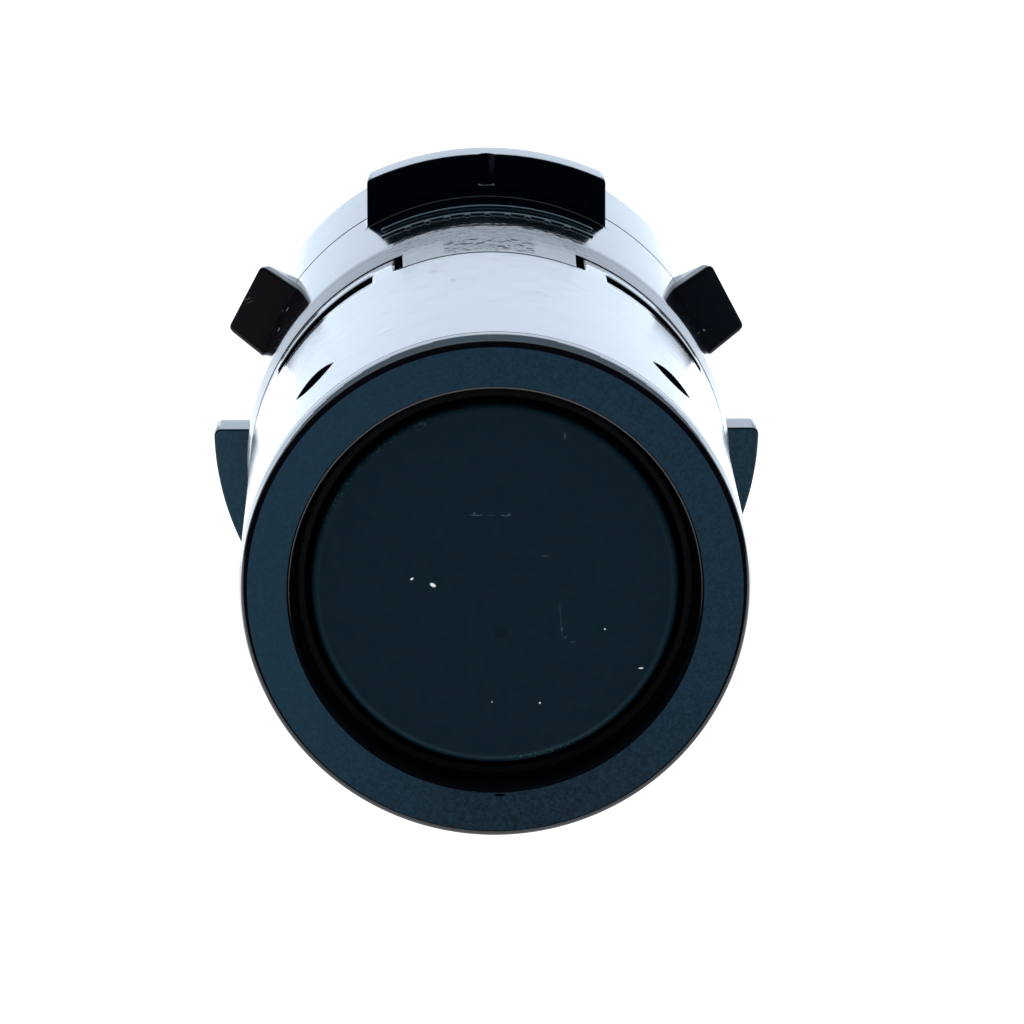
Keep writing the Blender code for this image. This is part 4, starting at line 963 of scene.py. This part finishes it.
# Painted highlight: a thin lighter line along the fillet at the bar's foot.
foot_painted_highlight = black.all_of(
    above, black.band(black.radius(), BODY_RADIUS + 0.01 * MM, BODY_RADIUS + 0.03 * MM, 0.02 * MM),
    black.band(place_y, SEAT_FRONT - FOOT_FILLET, SEAT_FRONT, 0.03 * MM),
    black.spread(beside, BAR_HALF_WIDTH + 0.1 * MM, BAR_HALF_WIDTH),
)
tone = black.mix(foot_painted_highlight, tone, (0.022, 0.036, 0.038))
lug_foot = black.band(place_y, SEAT_FRONT - LUG_FILLET, SEAT_FRONT, 5 * NEAR)
foot_specks = [black.all_of(black.marks(right_lug_specks), lug_foot)]
for x, y, z, half_long in ((-10.26, 33.2, 6.69, 0.13), (-10.68, 31.3, 6.01, 0.12)):
    foot_specks.append(black.all_of(
        black.mark(x, z, half_long, 0.07, 25),
        black.band(place_y, (y - 0.2) * MM, (y + 0.2) * MM, 0.1 * MM),
    ))
tone = black.mix(black.any_of(*foot_specks), tone, WORN_COLOR)
# Painted light: the notch's right wall is a little lighter.
notch_wall_painted_light = black.mix(black.math("MULTIPLY", notch, notch_right), tone, (0.010, 0.014, 0.019))
black.color(black.mix(black.math("MULTIPLY", notch, notch_floor_painted_highlight), notch_wall_painted_light, (0.09, 0.12, 0.15)))
side_gloss = Finish("satin_black_lug", (0.0012, 0.0022, 0.0045), 0.35)
side_gloss.give("IOR", 1.28)
side_gloss.uneven(0.8 * MM, 0.3, 0.4)
side_gloss.bump(side_gloss.noise(0.5 * MM), 0.004 * MM)
for finish in (black, flange_grain_painted_lighter, lug_face, side_gloss):
    housing.data.materials.append(finish.material)


def on_seat(face):
    """Whether the face looks forwards in the plane that seats on the bracket."""
    return face.normal.y < -0.9 and abs(face.calc_center_median().y - SEAT_FRONT) < 0.02 * MM


dressed(housing, 1, lambda face: on_seat(face) and face.calc_center_median().z < 0)
dressed(housing, 3, lambda face: within(face.calc_center_median(), LUG_SIDE_SPAN)
        and radius_of(face.calc_center_median()) > BODY_RADIUS + 0.3 * MM)
dressed(housing, 2, lambda face: on_seat(face) and within(face.calc_center_median(), LUG_FRONT_SPAN))
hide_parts("main_housing")
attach(housing, "root")

# Circuit board
# A green glass-fibre board that slides between the housing's rails. A wound transformer, a chip, a
# crystal, capacitors, resistors and a diode are soldered to it.


def mottled(name, low, high, roughness, grain, relief, metallic=0.0):
    """A finish with a fine grain in its tone, gloss and relief."""
    made = Finish(name, low, roughness, metallic)
    speckle = made.noise(grain)
    made.color(made.mix(speckle, low, high))
    made.roughness(made.spread(speckle, 0.3, 0.7, roughness * 0.85, roughness * 1.15))
    made.bump(speckle, relief)
    return made


board_rows = (
    ("green_solder_resist", (0.010, 0.060, 0.026), (0.016, 0.088, 0.040), 0.32, 0.3, 0.006,
     "circuit_board"),
    ("bobbin_resin", (0.020, 0.020, 0.021), (0.034, 0.034, 0.036), 0.55, 0.2, 0.008,
     "transformer_bobbin"),
    ("sintered_ferrite", (0.050, 0.050, 0.055), (0.085, 0.085, 0.092), 0.6, 0.15, 0.01,
     "transformer_core"),
    ("chip_resin", (0.018, 0.018, 0.019), (0.028, 0.028, 0.030), 0.5, 0.1, 0.005,
     "control_chip", "protection_diode"),
    ("amber_resin", (0.66, 0.34, 0.06), (0.80, 0.46, 0.10), 0.4, 0.3, 0.004,
     "storage_capacitor"),
    ("fired_ceramic", (0.50, 0.40, 0.28), (0.62, 0.52, 0.38), 0.45, 0.2, 0.005,
     "filter_capacitor_1", "filter_capacitor_2"),
    ("resistor_glaze", (0.014, 0.014, 0.016), (0.026, 0.026, 0.030), 0.3, 0.2, 0.004,
     "bias_resistor_1", "bias_resistor_2"),
)
for name, low, high, roughness, grain, relief, *nodes in board_rows:
    finish = mottled(name, low, high, roughness, grain * MM, relief * MM)
    for node in nodes:
        clad(node, finish)
winding_wire = mottled("winding_wire", (0.60, 0.26, 0.12), (0.78, 0.40, 0.22), 0.3, 0.12 * MM, 0.02 * MM, 1.0)
clad("transformer_winding", winding_wire)
tinned = mottled("tinned_metal", (0.66, 0.66, 0.64), (0.76, 0.76, 0.74), 0.28, 0.4 * MM, 0.003 * MM, 1.0)
clad("quartz_crystal", tinned)

# Rear housing
# The black plastic plug that closes the barrel. Its spigot holds the sealing ring, its wall carries
# the three pins, and its shroud guides the loom's plug and gives its arm a nose to snap over.
rear_low, rear_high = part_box("rear_housing")
REAR_LENGTH = 9.65 * MM
REAR_FRONT = HOUSING_REAR + FIT
BODY_END = REAR_FRONT + REAR_LENGTH
REAR_EDGE = 0.4 * MM
REAR_SPIGOT_RADIUS = BODY_BORE - FIT
SEAL_GROOVE_RADIUS = REAR_SPIGOT_RADIUS - 1.2 * MM
seal_low, seal_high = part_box("housing_seal")
SHROUD_WIDTH = 15.0 * MM
SHROUD_HEIGHT = 9.8 * MM
SHROUD_WALL = 1.3 * MM
SHROUD_CORNER = 2.0 * MM
SOCKET_DEPTH = 11.0 * MM
MOUTH_END = rear_high.y
PIN_SIDE = 0.64 * MM
PIN_PITCH = 2.54 * MM
WALL_SINK = 0.65 * MM
NOSE_LENGTH = 2.6 * MM
NOSE_HALF_WIDTH = 2 * MM
GUIDE_PLACE = 4.3 * MM
GUIDE_HALF_WIDTH = 0.6 * MM
DETAIL_EDGE = 0.15 * MM
rear_inner = REAR_SPIGOT_RADIUS - 2.45 * MM
end_wall = BODY_END - 1.5 * MM
rear_section = [(0.0, BODY_END), *bend((BODY_RADIUS - REAR_EDGE, BODY_END - REAR_EDGE), REAR_EDGE, 90, 0)]
rear_section += [(BODY_RADIUS, REAR_FRONT), (REAR_SPIGOT_RADIUS, REAR_FRONT)]
rear_section += [(REAR_SPIGOT_RADIUS, seal_high.y + FIT), (SEAL_GROOVE_RADIUS, seal_high.y + FIT)]
rear_section += [(SEAL_GROOVE_RADIUS, seal_low.y - FIT), (REAR_SPIGOT_RADIUS, seal_low.y - FIT)]
rear_section += [(REAR_SPIGOT_RADIUS, rear_low.y), (rear_inner, rear_low.y), (rear_inner, end_wall)]
rear_section += [(0.0, end_wall)]
plug = turned("rear_plug", rear_section)


def round_rectangle(width, height, corner, y):
    """Points of an upright rectangle with round corners, across the axis at y."""
    points = []
    for start, x_sign, z_sign in ((0, 1, 1), (90, -1, 1), (180, -1, -1), (270, 1, -1)):
        middle = Vector((x_sign * (width / 2 - corner), y, z_sign * (height / 2 - corner)))
        for step in range(7):
            turn = math.radians(start + 90 * step / 6)
            points.append(middle + corner * Vector((math.cos(turn), 0, math.sin(turn))))
    return points


shroud_root = BODY_END - 0.75 * MM
shroud = pulled(
    "connector_shroud",
    round_rectangle(SHROUD_WIDTH, SHROUD_HEIGHT, SHROUD_CORNER, shroud_root),
    Vector((0, MOUTH_END - shroud_root, 0)),
)
nose_rear = MOUTH_END - 2.4 * MM
nose_foot, nose_crest = SHROUD_HEIGHT / 2 - WALL_SINK, SHROUD_HEIGHT / 2 + 1.1 * MM
nose_profile = [(nose_rear, nose_foot), (nose_rear - NOSE_LENGTH, nose_foot)]
nose_profile += [(nose_rear - NOSE_LENGTH, nose_crest), (nose_rear - NOSE_LENGTH / 2, nose_crest)]
nose_outline = [Vector((-NOSE_HALF_WIDTH, y, z)) for y, z in nose_profile]
nose = pulled("latch_nose", nose_outline, Vector((2 * NOSE_HALF_WIDTH, 0, 0)))
rounded(nose, DETAIL_EDGE)
guides = []
for side in (-1, 1):
    middle = side * GUIDE_PLACE
    guide = cuboid(
        "guide_rib",
        (middle - GUIDE_HALF_WIDTH, shroud_root, -SHROUD_HEIGHT / 2 - 0.8 * MM),
        (middle + GUIDE_HALF_WIDTH, BODY_END + 9 * MM, -SHROUD_HEIGHT / 2 + WALL_SINK),
    )
    guides.append(rounded(guide, DETAIL_EDGE))
for item in (shroud, nose, *guides):
    cut(plug, item, "UNION")
socket = pulled(
    "socket",
    round_rectangle(
        SHROUD_WIDTH - 2 * SHROUD_WALL, SHROUD_HEIGHT - 2 * SHROUD_WALL, SHROUD_CORNER - SHROUD_WALL,
        MOUTH_END - SOCKET_DEPTH,
    ),
    Vector((0, SOCKET_DEPTH + MM, 0)),
)
cut(plug, socket)
hole = PIN_SIDE / 2 + 0.15 * MM
hole_rear = MOUTH_END - SOCKET_DEPTH + MM
for number in (-1, 0, 1):
    x = number * PIN_PITCH
    cut(plug, cuboid("pin_hole", (x - hole, end_wall - MM, -hole), (x + hole, hole_rear, hole)))
rounded(plug, 0.12 * MM, 2, lambda edge: all(vert.co.y > MOUTH_END - NEAR for vert in edge.verts))
smooth(plug)
plug.data.materials.append(black.material)
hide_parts("rear_housing")
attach(plug, "root")
clad("housing_seal", rubber)
for number in (1, 2, 3):
    clad(f"contact_pin_{number}", tinned)

# Room
# The sensor hangs in a white studio: a pale floor well below it, one wide soft lamp behind it and even
# light all round. What its gloss mirrors is bright behind it and dark on the camera's side.
CAMERA_PLACE = (-0.003750, -0.295463, 0.070982)
CAMERA_PITCH = 12.86
CAMERA_YAW = 0.88
LENS = 228.5
LAMP_SIDE = 0.8
LAMP_BEHIND = 0.75
LAMP_POWER = 2.02
SKY_LIGHT = 0.9
MIRRORED_COLOR = (0.85, 0.94, 1.0)
FLOOR_HEIGHT = -0.16
FLOOR_FRONT = -0.22
FLOOR_REAR = 3.0
FLOOR_HALF_WIDTH = 1.5
PAPER_GLOW = 0.45
bpy.ops.object.select_all(action="DESELECT")
bpy.ops.object.light_add(type="AREA", location=(0, LAMP_BEHIND, 0), rotation=(math.radians(-90), 0, 0))
back_lamp = bpy.context.object
back_lamp.data.size = LAMP_SIDE
back_lamp.data.energy = LAMP_POWER
back_lamp.data.color = (0.62, 0.77, 1.0)
back_lamp.visible_camera = False

world = bpy.data.worlds.new("studio")
bpy.context.scene.world = world
world.use_nodes = True
sky = world.node_tree.nodes["Background"]


def world_node(kind, **settings):
    made = world.node_tree.nodes.new(kind)
    for name, value in settings.items():
        setattr(made, name, value)
    return made


def link(source, target):
    world.node_tree.links.new(source, target)


ray = world_node("ShaderNodeLightPath")
way = world_node("ShaderNodeSeparateXYZ")
link(world_node("ShaderNodeTexCoord").outputs["Generated"], way.inputs["Vector"])
backdrop = world_node("ShaderNodeMapRange", interpolation_type="SMOOTHSTEP")
link(way.outputs["Y"], backdrop.inputs["Value"])
for name, value in (("From Min", 0.1), ("From Max", 0.8), ("To Min", 0.0), ("To Max", 1.0)):
    backdrop.inputs[name].default_value = value
mirrored = world_node("ShaderNodeMath", operation="MAXIMUM")
link(ray.outputs["Is Glossy Ray"], mirrored.inputs[0])
link(ray.outputs["Is Transmission Ray"], mirrored.inputs[1])
strength = world_node("ShaderNodeMix", data_type="FLOAT")
link(mirrored.outputs["Value"], strength.inputs["Factor"])
strength.inputs["A"].default_value = SKY_LIGHT
link(backdrop.outputs["Result"], strength.inputs["B"])
seen = world_node("ShaderNodeMath", operation="MAXIMUM")
link(ray.outputs["Is Camera Ray"], seen.inputs[0])
link(strength.outputs["Result"], seen.inputs[1])
link(seen.outputs["Value"], sky.inputs["Strength"])
tint = world_node("ShaderNodeMix", data_type="RGBA")
link(mirrored.outputs["Value"], tint.inputs["Factor"])
tint_white, tint_cool = [socket for socket in tint.inputs if socket.type == "RGBA"]
tint_white.default_value = (1, 1, 1, 1)
tint_cool.default_value = (*MIRRORED_COLOR, 1)
link(next(socket for socket in tint.outputs if socket.type == "RGBA"), sky.inputs["Color"])

bpy.ops.object.select_all(action="DESELECT")
bpy.ops.mesh.primitive_plane_add(size=1)
floor = bpy.context.object
floor.name = "studio_floor"
bpy.ops.object.mode_set(mode="EDIT")
bpy.ops.transform.resize(value=(2 * FLOOR_HALF_WIDTH, FLOOR_REAR - FLOOR_FRONT, 1))
bpy.ops.transform.translate(value=(0, (FLOOR_FRONT + FLOOR_REAR) / 2, FLOOR_HEIGHT))
bpy.ops.object.mode_set(mode="OBJECT")
paper = Finish("white_paper", (0.82, 0.84, 0.87), 0.8)
paper.two_tone(0.02, (0.81, 0.83, 0.86), (0.83, 0.85, 0.88))
rays = paper.node("ShaderNodeLightPath").outputs
paper_seen = paper.any_of(rays["Is Glossy Ray"], rays["Is Transmission Ray"], rays["Is Camera Ray"])
paper.give("Emission Color", (1, 1, 1, 1))
paper.put(paper.math("MULTIPLY", paper_seen, PAPER_GLOW), paper.shader.inputs["Emission Strength"])
floor.data.materials.append(paper.material)

bpy.context.scene.view_settings.view_transform = "Standard"
bpy.ops.object.select_all(action="DESELECT")
bpy.ops.object.camera_add(
    location=CAMERA_PLACE, rotation=(math.radians(90 - CAMERA_PITCH), 0, -math.radians(CAMERA_YAW))
)
camera = bpy.context.object
camera.data.lens = LENS
camera.data.sensor_width = 36
camera.data.clip_start = 0.01
bpy.context.scene.camera = camera
